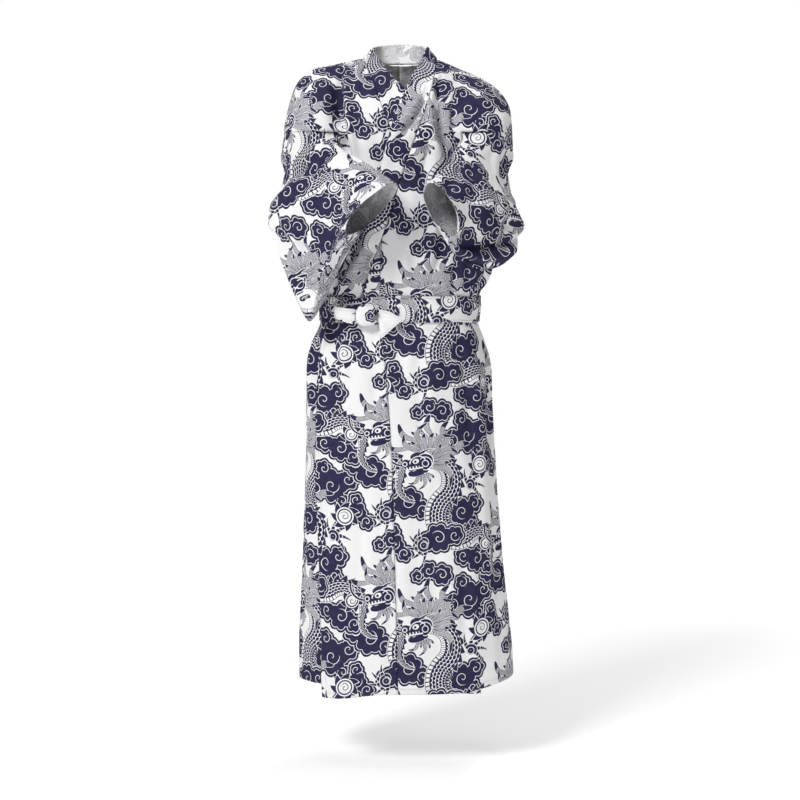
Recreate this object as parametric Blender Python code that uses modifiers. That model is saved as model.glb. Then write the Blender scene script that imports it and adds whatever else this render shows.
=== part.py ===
"""Cotton yukata robe, worn with folded arms and tied with a band of its own cloth.

Metres, +Z up, the front faces -Y, +X is the wearer's left. The origin is the middle of the
shoulder line at the base of the neck, where the wearer holds the robe up. Every piece is one cut
of cloth: an open sheet of points worked out from the tables, given its wall by Solidify.
"""

import bmesh
import bpy
import numpy as np

PART_NAME = "yukata_robe"
WALL = 0.0018            # thickness of one layer of cotton
SEAM = 0.0003            # clear gap kept at every seam
RIM_GAP = 0.0007         # gap between the rims of the body and of a sleeve
INSET = 0.0065           # how far the under front lies inside the outer front
COLLAR_WALL = 0.0030     # the collar band is cloth folded over itself
BELT_WALL = 0.0026
BELT_WIDTH = 0.055
BELT_HEIGHT = -0.5430    # middle of the belt
BELT_LIFT = 0.0046       # middle of the belt's wall, out from the robe's cloth
KNOT_CENTRE = (-0.0710, -0.5540)  # in X and height
KNOT_HALF = (0.0230, 0.0125, 0.0225)
KNOT_SQUARE = 0.75
LOOP_LENGTH = 0.044
LOOP_WIDTH = (0.032, 0.024)      # beside the knot and at the fold
LOOP_GAP = 0.0060
LOOP_SET_BACK = 0.0015          # the loop leaves the knot this far in front of its middle
LOOP_HEIGHT = -0.5570
TAIL_LENGTH = 0.042
TAIL_WIDTH = (0.030, 0.060)      # at the knot and at the free end
TAIL_SLOPE = np.radians(44)
TAIL_SLANT = 0.10
TAIL_HEIGHT = -0.5540
TAIL_CLEAR = 0.0022
SQUARE = 0.85            # below 1 the body's rings are fuller than an ellipse
YOKE = -0.17             # height of the armhole's outer side
ARMHOLE_DROP = 0.075     # the armhole's lowest point, below the yoke line
HEM = -1.350
RIDGE_FULLNESS = 0.72    # how roundly the chest runs up to the shoulder line
BACK_FULLNESS = 0.30
NECK_REACH = 0.078       # half the width of the neck opening at the shoulder seam
BACK_NECK_DROP = 0.07    # share of the yoke's height cut away at the middle of the back neck
CREASE = 0.52            # place on the yoke of the crease between chest and arm
CLOTH = (0.80, 0.80, 0.84)


class Table:
    """Rows of named columns, read smoothly at any value of the first column."""

    def __init__(self, columns, rows):
        self.columns = columns.split()
        self.rows = np.array(rows, float)

    def __call__(self, column, at):
        keys = self.rows[:, 0]
        values = self.rows[:, self.columns.index(column)]
        slopes = np.gradient(values, keys)
        at = np.clip(at, keys[0], keys[-1])
        left = np.clip(np.searchsorted(keys, at) - 1, 0, len(keys) - 2)
        span = keys[left + 1] - keys[left]
        t = (at - keys[left]) / span
        value = (2 * t**3 - 3 * t**2 + 1) * values[left] + (3 * t**2 - 2 * t**3) * values[left + 1]
        return value + span * ((t**3 - 2 * t**2 + t) * slopes[left] + (t**3 - t**2) * slopes[left + 1])


# Rings of the outer cloth round the body: centre in X, half width, depth in front and behind.
TORSO = Table("height centre half_width front back", [
    (-1.400, 0.0155, 0.2370, 0.140, 0.122),
    (-1.350, 0.0145, 0.2355, 0.139, 0.121),
    (-1.250, 0.0115, 0.2315, 0.137, 0.120),
    (-1.100, 0.0075, 0.2205, 0.134, 0.120),
    (-0.950, 0.0040, 0.2110, 0.132, 0.121),
    (-0.850, 0.0020, 0.2050, 0.131, 0.124),
    (-0.750, -0.0030, 0.2000, 0.130, 0.128),
    (-0.650, -0.0040, 0.1950, 0.127, 0.124),
    (-0.612, -0.0045, 0.1850, 0.121, 0.114),
    (-0.576, -0.0020, 0.1710, 0.1135, 0.102),
    (-0.543, 0.0000, 0.1690, 0.1120, 0.100),
    (-0.510, 0.0015, 0.1710, 0.1140, 0.101),
    (-0.480, 0.0040, 0.1850, 0.123, 0.107),
    (-0.455, 0.0060, 0.1900, 0.127, 0.110),
    (-0.400, 0.0040, 0.1720, 0.128, 0.112),
    (-0.330, 0.0010, 0.1530, 0.127, 0.111),
    (-0.250, 0.0000, 0.1500, 0.126, 0.108),
    (-0.170, 0.0000, 0.1650, 0.124, 0.102),
])

# The yoke from the middle out to the arm: reach in X, height of the shoulder line, and the depth
# in front and behind at the yoke line. One table for each of the wearer's sides.
YOKE_COLUMNS = "place reach ridge front back"
YOKE_LEFT = Table(YOKE_COLUMNS, [
    (0.000, 0.000, -0.008, 0.124, 0.102),
    (0.200, 0.050, -0.009, 0.122, 0.101),
    (0.310, 0.078, -0.012, 0.117, 0.099),
    (0.420, 0.105, -0.022, 0.108, 0.096),
    (0.520, 0.128, -0.032, 0.096, 0.090),
    (0.620, 0.154, -0.042, 0.106, 0.088),
    (0.710, 0.177, -0.053, 0.108, 0.083),
    (0.800, 0.201, -0.068, 0.098, 0.073),
    (0.880, 0.223, -0.090, 0.082, 0.061),
    (0.945, 0.237, -0.121, 0.054, 0.042),
    (0.980, 0.241, -0.148, 0.030, 0.024),
    (1.000, 0.241, -0.170, 0.000, 0.000),
])
YOKE_RIGHT = Table(YOKE_COLUMNS, [
    (0.000, 0.000, -0.008, 0.124, 0.102),
    (0.200, 0.050, -0.008, 0.122, 0.101),
    (0.310, 0.078, -0.009, 0.117, 0.099),
    (0.420, 0.105, -0.014, 0.108, 0.096),
    (0.520, 0.128, -0.019, 0.096, 0.090),
    (0.620, 0.154, -0.024, 0.106, 0.088),
    (0.710, 0.180, -0.029, 0.109, 0.083),
    (0.800, 0.206, -0.044, 0.100, 0.074),
    (0.880, 0.226, -0.072, 0.083, 0.061),
    (0.945, 0.239, -0.112, 0.055, 0.042),
    (0.980, 0.246, -0.145, 0.031, 0.024),
    (1.000, 0.249, -0.170, 0.000, 0.000),
])

# Where each front ends, in X: its panel's edge is the collar seam down to the top of the front
# gore and the gore's seam below that; collar is the collar seam all the way; gore is the free edge.
FRONT_LEFT = Table("height panel collar gore", [
    (-1.400, -0.0030, -0.100, -0.1655),
    (-1.100, -0.0100, -0.100, -0.1800),
    (-0.820, -0.0190, -0.100, -0.1810),
    (-0.620, -0.0350, -0.100, -0.1690),
    (-0.565, -0.0420, -0.1000, -0.1530),
    (-0.518, -0.0430, -0.0842, -0.1500),
    (-0.469, -0.0420, -0.0672, -0.1500),
    (-0.400, -0.0385, -0.0410, -0.1500),
    (-0.392, -0.0380, -0.0380, -0.1500),
    (-0.379, -0.0340, -0.0340, -0.1500),
    (-0.320, -0.0140, -0.0140, -0.1500),
    (-0.267, 0.0021, 0.0021, -0.1500),
    (-0.206, 0.0230, 0.0230, -0.1500),
    (-0.170, 0.0370, 0.0370, -0.1500),
])
FRONT_RIGHT = Table("height panel collar gore", [
    (-1.400, 0.0200, 0.122, 0.1800),
    (-1.100, 0.0220, 0.122, 0.1740),
    (-0.820, 0.0280, 0.122, 0.1650),
    (-0.620, 0.0420, 0.110, 0.1500),
    (-0.565, 0.0500, 0.1100, 0.1450),
    (-0.518, 0.0550, 0.0980, 0.1450),
    (-0.469, 0.0580, 0.0840, 0.1450),
    (-0.400, 0.0600, 0.0625, 0.1450),
    (-0.392, 0.0595, 0.0595, 0.1450),
    (-0.379, 0.0560, 0.0560, 0.1450),
    (-0.320, 0.0380, 0.0380, 0.1450),
    (-0.267, 0.0210, 0.0210, 0.1450),
    (-0.206, 0.0000, 0.0000, 0.1450),
    (-0.170, -0.0170, -0.0170, 0.1450),
])
GORE_TOP = -0.392        # height where the front gore's seam meets the collar seam
GORE_POINT = 0.008       # the gore's own point stops this far below
COLLAR_END = -0.565      # height where the collar stops, behind the belt
COLLAR_STAND = 0.0030    # the collar's seam sits this far above the cloth at the neck
NECK_CURVE = {1: 1.5, -1: 1.1}   # how the collar seam bends in to the neck on each side

# Free edge of the collar on the wearer's left (top layer) and right (under layer), by the height
# of the seam beside it.
EDGE_COLUMNS = "seam_height free_x free_height"
EDGE_LEFT = Table(EDGE_COLUMNS, [
    (-0.565, -0.1530, -0.5480),
    (-0.518, -0.1390, -0.5000),
    (-0.469, -0.1220, -0.4520),
    (-0.379, -0.0880, -0.3650),
    (-0.267, -0.0420, -0.2520),
    (-0.206, -0.0260, -0.1870),
    (-0.170, -0.0160, -0.1520),
    (-0.135, -0.0030, -0.1140),
    (-0.081, 0.0190, -0.0630),
    (-0.045, 0.0350, -0.0320),
    (-0.012, 0.0580, 0.0130),
])
EDGE_RIGHT = Table(EDGE_COLUMNS, [
    (-0.565, 0.1500, -0.5480),
    (-0.518, 0.1420, -0.5000),
    (-0.469, 0.1320, -0.4520),
    (-0.379, 0.1080, -0.3650),
    (-0.267, 0.0700, -0.2500),
    (-0.206, 0.0480, -0.1820),
    (-0.170, 0.0330, -0.1380),
    (-0.135, 0.0160, -0.0900),
    (-0.081, -0.0120, -0.0560),
    (-0.045, -0.0330, -0.0300),
    (-0.009, -0.0580, 0.0120),
])
BACK_EDGE = (0.082, 0.029)       # depth and height of the collar's free edge behind the neck

# A sleeve's sections, from the armhole round the bent elbow to the cuff. Each runs from an inner
# point to an outer one; the front and back headings say which way its two sides bulge in plan,
# and bag says how thin it hangs past the share of its length that the arm fills.
SLEEVE_COLUMNS = ("station in_x in_y in_z out_x out_y out_z front_way front_depth"
                  " back_way back_depth back_drop arm bag")
SLEEVE_RIGHT = Table(SLEEVE_COLUMNS, [
    (1, 0.134, -0.114, -0.188, 0.2500, -0.010, -0.205, 40, 0.034, 0, 0.095, 0.078, 1.0, 1.0),
    (2, 0.130, -0.126, -0.198, 0.2420, -0.015, -0.242, 40, 0.040, 0, 0.095, 0.084, 1.0, 1.0),
    (3, 0.121, -0.137, -0.207, 0.2490, -0.035, -0.300, 38, 0.045, 5, 0.088, 0.078, 1.0, 1.0),
    (4, 0.109, -0.148, -0.216, 0.2740, -0.072, -0.345, 36, 0.050, 15, 0.075, 0.060, 0.9, 0.9),
    (5, 0.096, -0.161, -0.224, 0.2590, -0.094, -0.412, 36, 0.050, 28, 0.060, 0.035, 0.6, 0.6),
    (6, 0.081, -0.175, -0.232, 0.2300, -0.115, -0.490, 37, 0.050, 35, 0.050, 0.012, 0.5, 0.42),
    (7, 0.063, -0.190, -0.244, 0.1900, -0.135, -0.566, 38, 0.048, 38, 0.046, 0.000, 0.45, 0.44),
    (8, 0.043, -0.206, -0.257, 0.1630, -0.160, -0.496, 38, 0.046, 38, 0.045, 0.000, 0.5, 0.68),
    (9, 0.026, -0.221, -0.269, 0.1360, -0.192, -0.430, 38, 0.045, 38, 0.044, 0.000, 0.6, 0.70),
    (10, 0.012, -0.233, -0.280, 0.1050, -0.226, -0.384, 38, 0.044, 38, 0.044, 0.000, 0.9, 0.80),
])
SLEEVE_LEFT = Table(SLEEVE_COLUMNS, [
    (1, 0.122, -0.115, -0.190, 0.2390, -0.010, -0.208, 40, 0.034, 0, 0.092, 0.078, 1.0, 1.0),
    (2, 0.115, -0.126, -0.204, 0.2290, -0.015, -0.245, 40, 0.040, 0, 0.092, 0.084, 1.0, 1.0),
    (3, 0.109, -0.139, -0.218, 0.2350, -0.038, -0.315, 38, 0.045, 5, 0.086, 0.078, 1.0, 1.0),
    (4, 0.102, -0.153, -0.230, 0.2550, -0.075, -0.373, 36, 0.050, 15, 0.075, 0.060, 0.9, 0.9),
    (5, 0.095, -0.167, -0.241, 0.2440, -0.105, -0.412, 36, 0.050, 28, 0.060, 0.035, 0.7, 0.70),
    (6, 0.088, -0.181, -0.251, 0.2220, -0.130, -0.442, 37, 0.050, 35, 0.052, 0.012, 0.6, 0.55),
    (7, 0.081, -0.195, -0.260, 0.1880, -0.155, -0.457, 38, 0.048, 38, 0.047, 0.000, 0.55, 0.45),
    (8, 0.074, -0.208, -0.268, 0.1480, -0.180, -0.450, 38, 0.046, 38, 0.046, 0.000, 0.55, 0.45),
    (9, 0.068, -0.221, -0.275, 0.1150, -0.207, -0.425, 38, 0.045, 38, 0.045, 0.000, 0.6, 0.55),
    (10, 0.062, -0.234, -0.281, 0.1080, -0.240, -0.388, 38, 0.044, 38, 0.044, 0.000, 0.9, 0.80),
])
SLEEVE_STAND_OFF = 0.0060        # the sleeve's inner side starts this far off the body's side
SLEEVE_FALL = 0.022              # how far it drops by each of the first stations
SLEEVE_CLEARANCE = 0.0090        # kept between a sleeve and the body cloth behind it

# Points round each ring or along each piece.
CHEST_COLUMNS = 5
ARM_COLUMNS = 7
SIDE_COLUMNS = 7
NECK_COLUMNS = 3
YOKE_ROWS = 6
GORE_COLUMNS = 4
COLLAR_COLUMNS = 2
LOOP_POINTS = 24
LOWER_HEIGHTS = np.concatenate([
    np.linspace(HEM, -0.70, 11),
    [-0.655, -0.614, -0.576, -0.543, -0.510, -0.480, -0.440, GORE_TOP],
    np.linspace(-0.355, YOKE, 6),
])

LEFT = 1
RIGHT = -1
YOKES = {LEFT: YOKE_LEFT, RIGHT: YOKE_RIGHT}
FRONTS = {LEFT: FRONT_LEFT, RIGHT: FRONT_RIGHT}
EDGES = {LEFT: EDGE_LEFT, RIGHT: EDGE_RIGHT}
SLEEVES = {LEFT: SLEEVE_LEFT, RIGHT: SLEEVE_RIGHT}


def power(value, exponent):
    """Raise to a power, keeping the sign."""
    return np.sign(value) * np.abs(value) ** exponent


def smooth(value, start, end):
    """0 before start, 1 past end, an S curve between them."""
    t = np.clip((value - start) / (end - start), 0.0, 1.0)
    return t * t * (3 - 2 * t)


def blend(first, second, share):
    return first + (second - first) * share


def points(x, y, z):
    """Stack three coordinates, stretched to one shape, into points."""
    return np.stack(np.broadcast_arrays(x, y, z), -1).astype(float)


def ring(turn, height, offset=0.0):
    """Point on the cloth round the body; turn 0 is the front and a quarter turn the left side."""
    depth = np.where(np.cos(turn) > 0, TORSO("front", height), TORSO("back", height)) + offset
    half = TORSO("half_width", height) + offset
    x = TORSO("centre", height) + half * power(np.sin(turn), SQUARE)
    return points(x, -depth * power(np.cos(turn), SQUARE), height)


def front_turn(x, height):
    """Turn at which the front of the ring at this height reaches X."""
    share = (x - TORSO("centre", height)) / TORSO("half_width", height)
    return np.arcsin(power(np.clip(share, -1, 1), 1 / SQUARE))


def yoke(column, x):
    """A column of the yoke table at any X, on whichever side that is."""
    place = np.linspace(0, 1, 400)
    left = np.interp(x, YOKE_LEFT("reach", place), YOKE_LEFT(column, place))
    right = np.interp(-x, YOKE_RIGHT("reach", place), YOKE_RIGHT(column, place))
    return np.where(x > 0, left, right)


def under_share(turn, height):
    """How much of INSET the under front takes: none at the wearer's right side, all past it."""
    start = -np.radians(np.interp(height, [-0.50, -0.42, -0.30, YOKE], [80, 72, 56, 50]))
    full = -np.radians(np.interp(height, [-0.50, -0.42, -0.30, YOKE], [63, 54, 38, 28]))
    return smooth(turn, start, full)


def front(x, height, under):
    """Point of the outer front, or of the under one, at this X and height."""
    lower = np.minimum(height, YOKE)
    turn = front_turn(x, lower)
    inset = INSET * under_share(turn, lower) * under
    depth_at_yoke = -ring(front_turn(x, YOKE), YOKE)[..., 1]
    share = smooth(height, -0.29, YOKE)
    spot = ring(turn, lower, -inset)
    spot[..., 1] -= (yoke("front", x) - depth_at_yoke) * share
    ridge = yoke("ridge", x)
    rise = np.clip((height - YOKE) / np.maximum(ridge - YOKE, 1e-6), 0, 1)
    spot[..., 0] = blend(spot[..., 0], x, rise**2)
    spot[..., 1] *= np.clip(1 - rise * rise, 0, 1) ** RIDGE_FULLNESS
    spot[..., 2] = height
    return spot


def neckward_x(side, lean):
    """X of the collar seam above the yoke line, lean 0 at that line and 1 at the shoulder."""
    start = FRONTS[side]("panel", YOKE)
    return blend(start, side * NECK_REACH, 1 - (1 - lean) ** NECK_CURVE[side])


def chest_turns(side, height):
    """Turns of the front columns at each height, from the front edge to the arm crease."""
    edge = front_turn(FRONTS[side]("panel", height) + side * SEAM / 2, height)
    crease = front_turn(side * YOKES[side]("reach", CREASE), YOKE)
    return blend(edge, crease, np.linspace(0, 1, CHEST_COLUMNS + 1))


def back_reaches(side):
    """X of the back columns at the yoke, from the arm crease to the centre back."""
    crease = YOKES[side]("reach", CREASE)
    shoulder = np.linspace(crease, NECK_REACH, CHEST_COLUMNS + 1)
    neck = NECK_REACH * np.cos(np.linspace(0, np.pi / 2, NECK_COLUMNS + 1)[1:])
    return side * np.concatenate([shoulder, neck])


def hem_height(side, x, turn):
    """Height of the hem: both fronts hang lower toward their free lower corner."""
    in_front = np.clip(np.cos(turn), 0, 1)
    if side == LEFT:
        corner = 0.019 * smooth(-x, 0.02, 0.17) * in_front**0.3
        return HEM - 0.013 * in_front**0.5 - corner + 0.012 * smooth(x, 0.13, 0.24)
    return HEM - 0.003 * in_front - 0.016 * smooth(x, 0.05, 0.18)


def lowered(side, x, turn, height):
    """Height of a point of the lower cloth once the hem's line is followed."""
    drop = hem_height(side, x, turn) - HEM
    return height + drop * smooth(-height, 0.95, -HEM)


def lower_body(side):
    """The half of the robe below the yoke, from the front edge round to the centre back."""
    heights = LOWER_HEIGHTS[:, None]
    chest = chest_turns(side, heights)
    crease = chest[0, -1]
    reaches = back_reaches(side)
    back = side * np.pi - front_turn(reaches, YOKE)
    flank = blend(crease, back[0], np.linspace(0, 1, SIDE_COLUMNS + 1)[1:-1])
    flank = np.broadcast_to(flank, (len(heights), SIDE_COLUMNS - 1))
    back = np.broadcast_to(back, (len(heights), len(reaches)))
    turn = np.concatenate([chest, flank, back], 1)
    column = np.arange(turn.shape[1])
    pit = np.sin(np.pi * np.clip((column - CHEST_COLUMNS) / SIDE_COLUMNS, 0, 1)) ** 0.8
    height = heights - ARMHOLE_DROP * pit * smooth(heights, -0.40, YOKE)
    under = 1.0 if side == RIGHT else 0.0
    offset = -INSET * under * under_share(turn, height)
    spot = ring(turn, height, offset)
    # Near the yoke line the rings turn into the yoke's own outline, front and back.
    in_front = front(ring(turn, height)[..., 0], height, under)
    spot[:, :CHEST_COLUMNS + 1] = in_front[:, :CHEST_COLUMNS + 1]
    top_front = yoke("front", spot[..., 0]) + ring(turn, YOKE)[..., 1]
    top_back = yoke("back", spot[..., 0]) - ring(turn, YOKE)[..., 1]
    near = smooth(height, -0.29, YOKE)
    flank_share = np.clip((column - CHEST_COLUMNS) / SIDE_COLUMNS, 0, 1)
    front_share = np.where(column > CHEST_COLUMNS, np.clip(1 - 2.5 * flank_share, 0, 1), 0)
    back_share = np.clip(2.5 * flank_share - 1.5, 0, 1)
    crease_front = top_front[:, CHEST_COLUMNS:CHEST_COLUMNS + 1]
    crease_back = top_back[:, CHEST_COLUMNS + SIDE_COLUMNS:CHEST_COLUMNS + SIDE_COLUMNS + 1]
    is_back = column >= CHEST_COLUMNS + SIDE_COLUMNS
    spot[..., 1] -= crease_front * front_share * near
    spot[..., 1] += np.where(is_back, top_back, crease_back * back_share) * near
    spot[..., 2] = lowered(side, spot[..., 0], turn, height)
    return spot


def yoke_front(side):
    """The front of the yoke, from its line up to the shoulder line."""
    lean = np.sin(np.linspace(0, np.pi / 2, YOKE_ROWS + 1))[:, None]
    turns = chest_turns(side, np.array([[YOKE]]))
    low = ring(turns, YOKE)[..., 0]
    high = side * np.linspace(NECK_REACH, YOKES[side]("reach", CREASE), CHEST_COLUMNS + 1)
    gather = 1 - (1 - lean) ** NECK_CURVE[side]
    chest_x = blend(low, high, gather)
    places = np.linspace(CREASE, 1.0, ARM_COLUMNS + 1)[1:]
    arm_x = side * YOKES[side]("reach", places) * np.ones_like(lean)
    x = np.concatenate([chest_x, arm_x], 1)
    height = YOKE + (yoke("ridge", x) - YOKE) * lean
    spot = front(x, height, 1.0 if side == RIGHT else 0.0)
    arm = front_arm(x[:, CHEST_COLUMNS + 1:], lean)
    spot[:, CHEST_COLUMNS + 1:] = arm
    return spot


def front_arm(x, lean):
    """The yoke's front over the upper arm."""
    depth = yoke("front", x) * np.clip(1 - lean * lean, 0, 1) ** RIDGE_FULLNESS
    return points(x, -depth, YOKE + (yoke("ridge", x) - YOKE) * lean)


def neck_cut(x):
    """Share of the yoke's height at which the back ends: 1 on the shoulder, less at the neck."""
    return 1 - BACK_NECK_DROP * np.sqrt(np.clip(1 - (x / NECK_REACH) ** 2, 0, 1))


def yoke_back(side):
    """The back of the yoke, from its line up to the shoulder line and the back neck."""
    lean = np.sin(np.linspace(0, np.pi / 2, YOKE_ROWS + 1))[:, None]
    places = np.linspace(1.0, CREASE, ARM_COLUMNS + 1)[:-1]
    x = np.concatenate([side * YOKES[side]("reach", places), back_reaches(side)])
    rise = lean * neck_cut(x)
    fullness = blend(BACK_FULLNESS, RIDGE_FULLNESS, smooth(np.abs(x), 0.07, 0.22))
    depth = yoke("back", x) * np.clip(1 - rise * rise, 0, 1) ** fullness
    return points(x * np.ones_like(lean), depth, YOKE + (yoke("ridge", x) - YOKE) * rise)


def shift_x(spots, amount):
    moved = spots.copy()
    moved[..., 0] += amount
    return moved


def body(side):
    """Front and back of one side in one piece, as they are cut: three sheets that share edges."""
    gap = side * SEAM / 2
    sheets = [lower_body(side), yoke_front(side), yoke_back(side)]
    return [shift_x(sheet, gap) for sheet in sheets]


def collar_heights():
    """Heights of the seam beside the collar, from just past its end up to below the yoke."""
    beside = LOWER_HEIGHTS[(LOWER_HEIGHTS > COLLAR_END) & (LOWER_HEIGHTS < YOKE)]
    return np.sort(np.concatenate([[COLLAR_END - 0.003, GORE_TOP], beside]))


def collar_seam(side, height):
    """X of the seam between collar and front below the yoke line."""
    return np.where(height >= GORE_TOP, FRONTS[side]("panel", height), FRONTS[side]("collar", height))


def gore_sheet(side, heights, turn):
    x = ring(turn, heights)[..., 0]
    spot = front(x, heights * np.ones_like(x), float(side == RIGHT))
    spot[..., 2] = lowered(side, x, turn, spot[..., 2])
    return spot


def gore(side):
    """The front gore: from its long seam out to the robe's free edge, cut off by the collar."""
    split = COLLAR_END - 0.003
    beside = collar_heights()[:, None]
    upper = np.append(beside[beside < GORE_TOP], GORE_TOP - GORE_POINT)[:, None]
    lower = np.append(LOWER_HEIGHTS[LOWER_HEIGHTS < split], split)[:, None]
    seam_upper = front_turn(FRONTS[side]("panel", upper) - side * SEAM / 2, upper)
    collar_upper = front_turn(collar_seam(side, upper) + side * 2 * SEAM, upper)
    seam_lower = front_turn(FRONTS[side]("panel", lower) - side * SEAM / 2, lower)
    edge_lower = front_turn(FRONTS[side]("gore", lower), lower)
    inner = np.linspace(0, 1, GORE_COLUMNS)
    share = float((collar_upper[0, 0] - seam_upper[0, 0]) / (edge_lower[-1, 0] - seam_lower[-1, 0]))
    spread = np.concatenate([inner * share, blend(share, 1, inner)[1:]])
    return [gore_sheet(side, lower, blend(seam_lower, edge_lower, spread)),
            gore_sheet(side, upper, blend(seam_upper, collar_upper, inner))]


def collar_front(side):
    """Seam and free edge of the collar on one front, from behind the belt up to the shoulder."""
    low = collar_heights()
    low[0] = COLLAR_END
    lean = np.sin(np.linspace(0, np.pi / 2, YOKE_ROWS + 1))
    seam_x = np.concatenate([collar_seam(side, low), neckward_x(side, lean)]) - side * SEAM
    neck_z = YOKE + (yoke("ridge", seam_x[len(low):]) - YOKE) * lean
    seam_z = np.concatenate([low, neck_z])
    free_x = EDGES[side]("free_x", seam_z)
    free_z = EDGES[side]("free_height", seam_z)
    across = np.linspace(0, 1, COLLAR_COLUMNS + 1)[:, None]
    band_z = blend(seam_z, free_z, across)
    low_z = np.minimum(band_z, YOKE)
    band_turn = blend(front_turn(seam_x, low_z[0]), front_turn(free_x, low_z[-1]), across)
    band_x = ring(band_turn, low_z)[..., 0]
    spot = front(band_x, band_z, float(side == RIGHT))
    stand = np.concatenate([np.zeros_like(low), smooth(lean, 0.80, 1.0)])
    spot[..., 2] += COLLAR_STAND * stand
    return np.swapaxes(spot, 0, 1)


def collar_back():
    """The collar round the back of the neck, from the wearer's right shoulder to the left."""
    turn = np.linspace(-np.pi / 2, np.pi / 2, 2 * (NECK_COLUMNS + 2) + 1)[1:-1]
    reach = NECK_REACH - SEAM
    x = reach * np.sin(turn)
    rise = neck_cut(x)
    depth = yoke("back", x) * np.clip(1 - rise * rise, 0, 1) ** BACK_FULLNESS
    seam = points(x, depth, YOKE + (yoke("ridge", x) - YOKE) * rise + COLLAR_STAND)
    side_height = blend(EDGE_RIGHT("free_height", -0.009), EDGE_LEFT("free_height", -0.012), 0.5)
    height = blend(side_height, BACK_EDGE[1], np.cos(turn) ** 0.8)
    free = points(0.058 * np.sin(turn), BACK_EDGE[0] * np.cos(turn) ** 0.7, height)
    across = np.linspace(0, 1, COLLAR_COLUMNS + 1)[:, None, None]
    return np.swapaxes(blend(seam, free, across), 0, 1)


def collar():
    """One long band: up the under front, round the neck and down the outer front."""
    up = collar_front(RIGHT)
    down = collar_front(LEFT)[::-1]
    return [np.concatenate([up, collar_back(), down])]


def armhole(side):
    """The armhole's edge as one loop of LOOP_POINTS, from the chest crease over the front."""
    yoke_sheet = yoke_front(side)[0, CHEST_COLUMNS:]
    back_sheet = yoke_back(side)[0, :ARM_COLUMNS + 1]
    top = lower_body(side)[-1, CHEST_COLUMNS:CHEST_COLUMNS + SIDE_COLUMNS + 1]
    over = resample(yoke_sheet, LOOP_POINTS // 2 + 1)
    rest = np.concatenate([back_sheet, top[::-1][1:]])
    under = resample(rest, LOOP_POINTS // 2 + 1)
    return np.concatenate([over, under[1:-1]])


def resample(line, count):
    """The same line cut into equal lengths."""
    length = np.concatenate([[0], np.cumsum(np.linalg.norm(np.diff(line, axis=0), axis=1))])
    at = np.linspace(0, length[-1], count)
    return np.stack([np.interp(at, length, line[:, axis]) for axis in range(3)], -1)


def section(side, station):
    """A sleeve's loop at this station: down its front from the inner point, back up behind."""
    table = SLEEVES[side]
    row = {name: table(name, station) for name in table.columns}
    around = np.linspace(0, 2 * np.pi, LOOP_POINTS, endpoint=False)
    inner = np.array([row["in_x"], row["in_y"], row["in_z"]])
    outer = np.array([row["out_x"], row["out_y"], row["out_z"]])
    along = ((1 - np.cos(around)) / 2)[:, None]
    thin = 1 - (1 - row["bag"]) * smooth(along, row["arm"] - 0.25, row["arm"] + 0.20)
    swell = np.sin(around)[:, None] * thin
    ahead = np.radians(row["front_way"])
    behind = np.radians(row["back_way"])
    forward = np.array([np.sin(ahead), -np.cos(ahead), 0]) * row["front_depth"]
    backward = np.array([np.sin(behind), -np.cos(behind), 0]) * row["back_depth"]
    backward[2] = row["back_drop"]
    loop = blend(inner, outer, along) + swell * np.where(swell > 0, forward, backward)
    return loop * np.array([side, 1, 1])


def clear_of_body(spot):
    """Push points that would lie in the body straight out until they are clear of its cloth."""
    height = np.minimum(spot[..., 2], YOKE)
    centre = TORSO("centre", height)
    room = SLEEVE_CLEARANCE * (1 + smooth(height, -0.29, YOKE))
    half = TORSO("half_width", height) + SLEEVE_CLEARANCE
    depth = np.where(spot[..., 1] < 0, TORSO("front", height), TORSO("back", height)) + room
    across = np.abs((spot[..., 0] - centre) / half) ** (2 / SQUARE)
    level = (across + np.abs(spot[..., 1] / depth) ** (2 / SQUARE)) ** (SQUARE / 2)
    push = 1 / np.clip(level, 1e-3, 1)
    return points(centre + (spot[..., 0] - centre) * push, spot[..., 1] * push, spot[..., 2])


def sleeve(side):
    """A tube swept from the armhole to the cuff; the first rim sits just clear of the body."""
    start = armhole(side)
    centre = start.mean(0)
    outward = start - centre
    outward[:, 2] = 0
    outward /= np.linalg.norm(outward, axis=1, keepdims=True)
    low = smooth(-side * start[:, :1], -0.200, -0.150)
    start = start - outward * SLEEVE_STAND_OFF * low - np.array([0, 0, RIM_GAP])
    stations = np.concatenate([[1], np.arange(1.5, 4, 0.5), np.arange(4, 10.1, 0.75)])
    loops = [start]
    for station in stations:
        hanging = start - np.array([0, 0, SLEEVE_FALL * station])
        loop = blend(hanging, section(side, station), smooth(station, 0.2, 2.0))
        loops.append(clear_of_body(loop))
    return [np.stack(loops)]


def belt_band():
    """The belt round the waist, over the outer front."""
    turn = np.linspace(0, 2 * np.pi, 49)[:-1]
    height = BELT_HEIGHT + BELT_WIDTH * np.linspace(-0.5, 0.5, 4)[:, None]
    return ring(turn, height * np.ones_like(turn), BELT_LIFT)


def belt_face(x):
    """Depth in Y of the belt's outer face at this X, in front."""
    height = BELT_HEIGHT * np.ones_like(x)
    return ring(front_turn(x, height), height, BELT_LIFT + BELT_WALL / 2)[..., 1]


def knot_depth():
    """Y of the knot's middle: its back just clears the belt's face."""
    beside = KNOT_CENTRE[0] + KNOT_HALF[0] * np.linspace(-0.5, 0.5, 5)
    return float(belt_face(beside).min()) - KNOT_HALF[1] - SEAM


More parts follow.
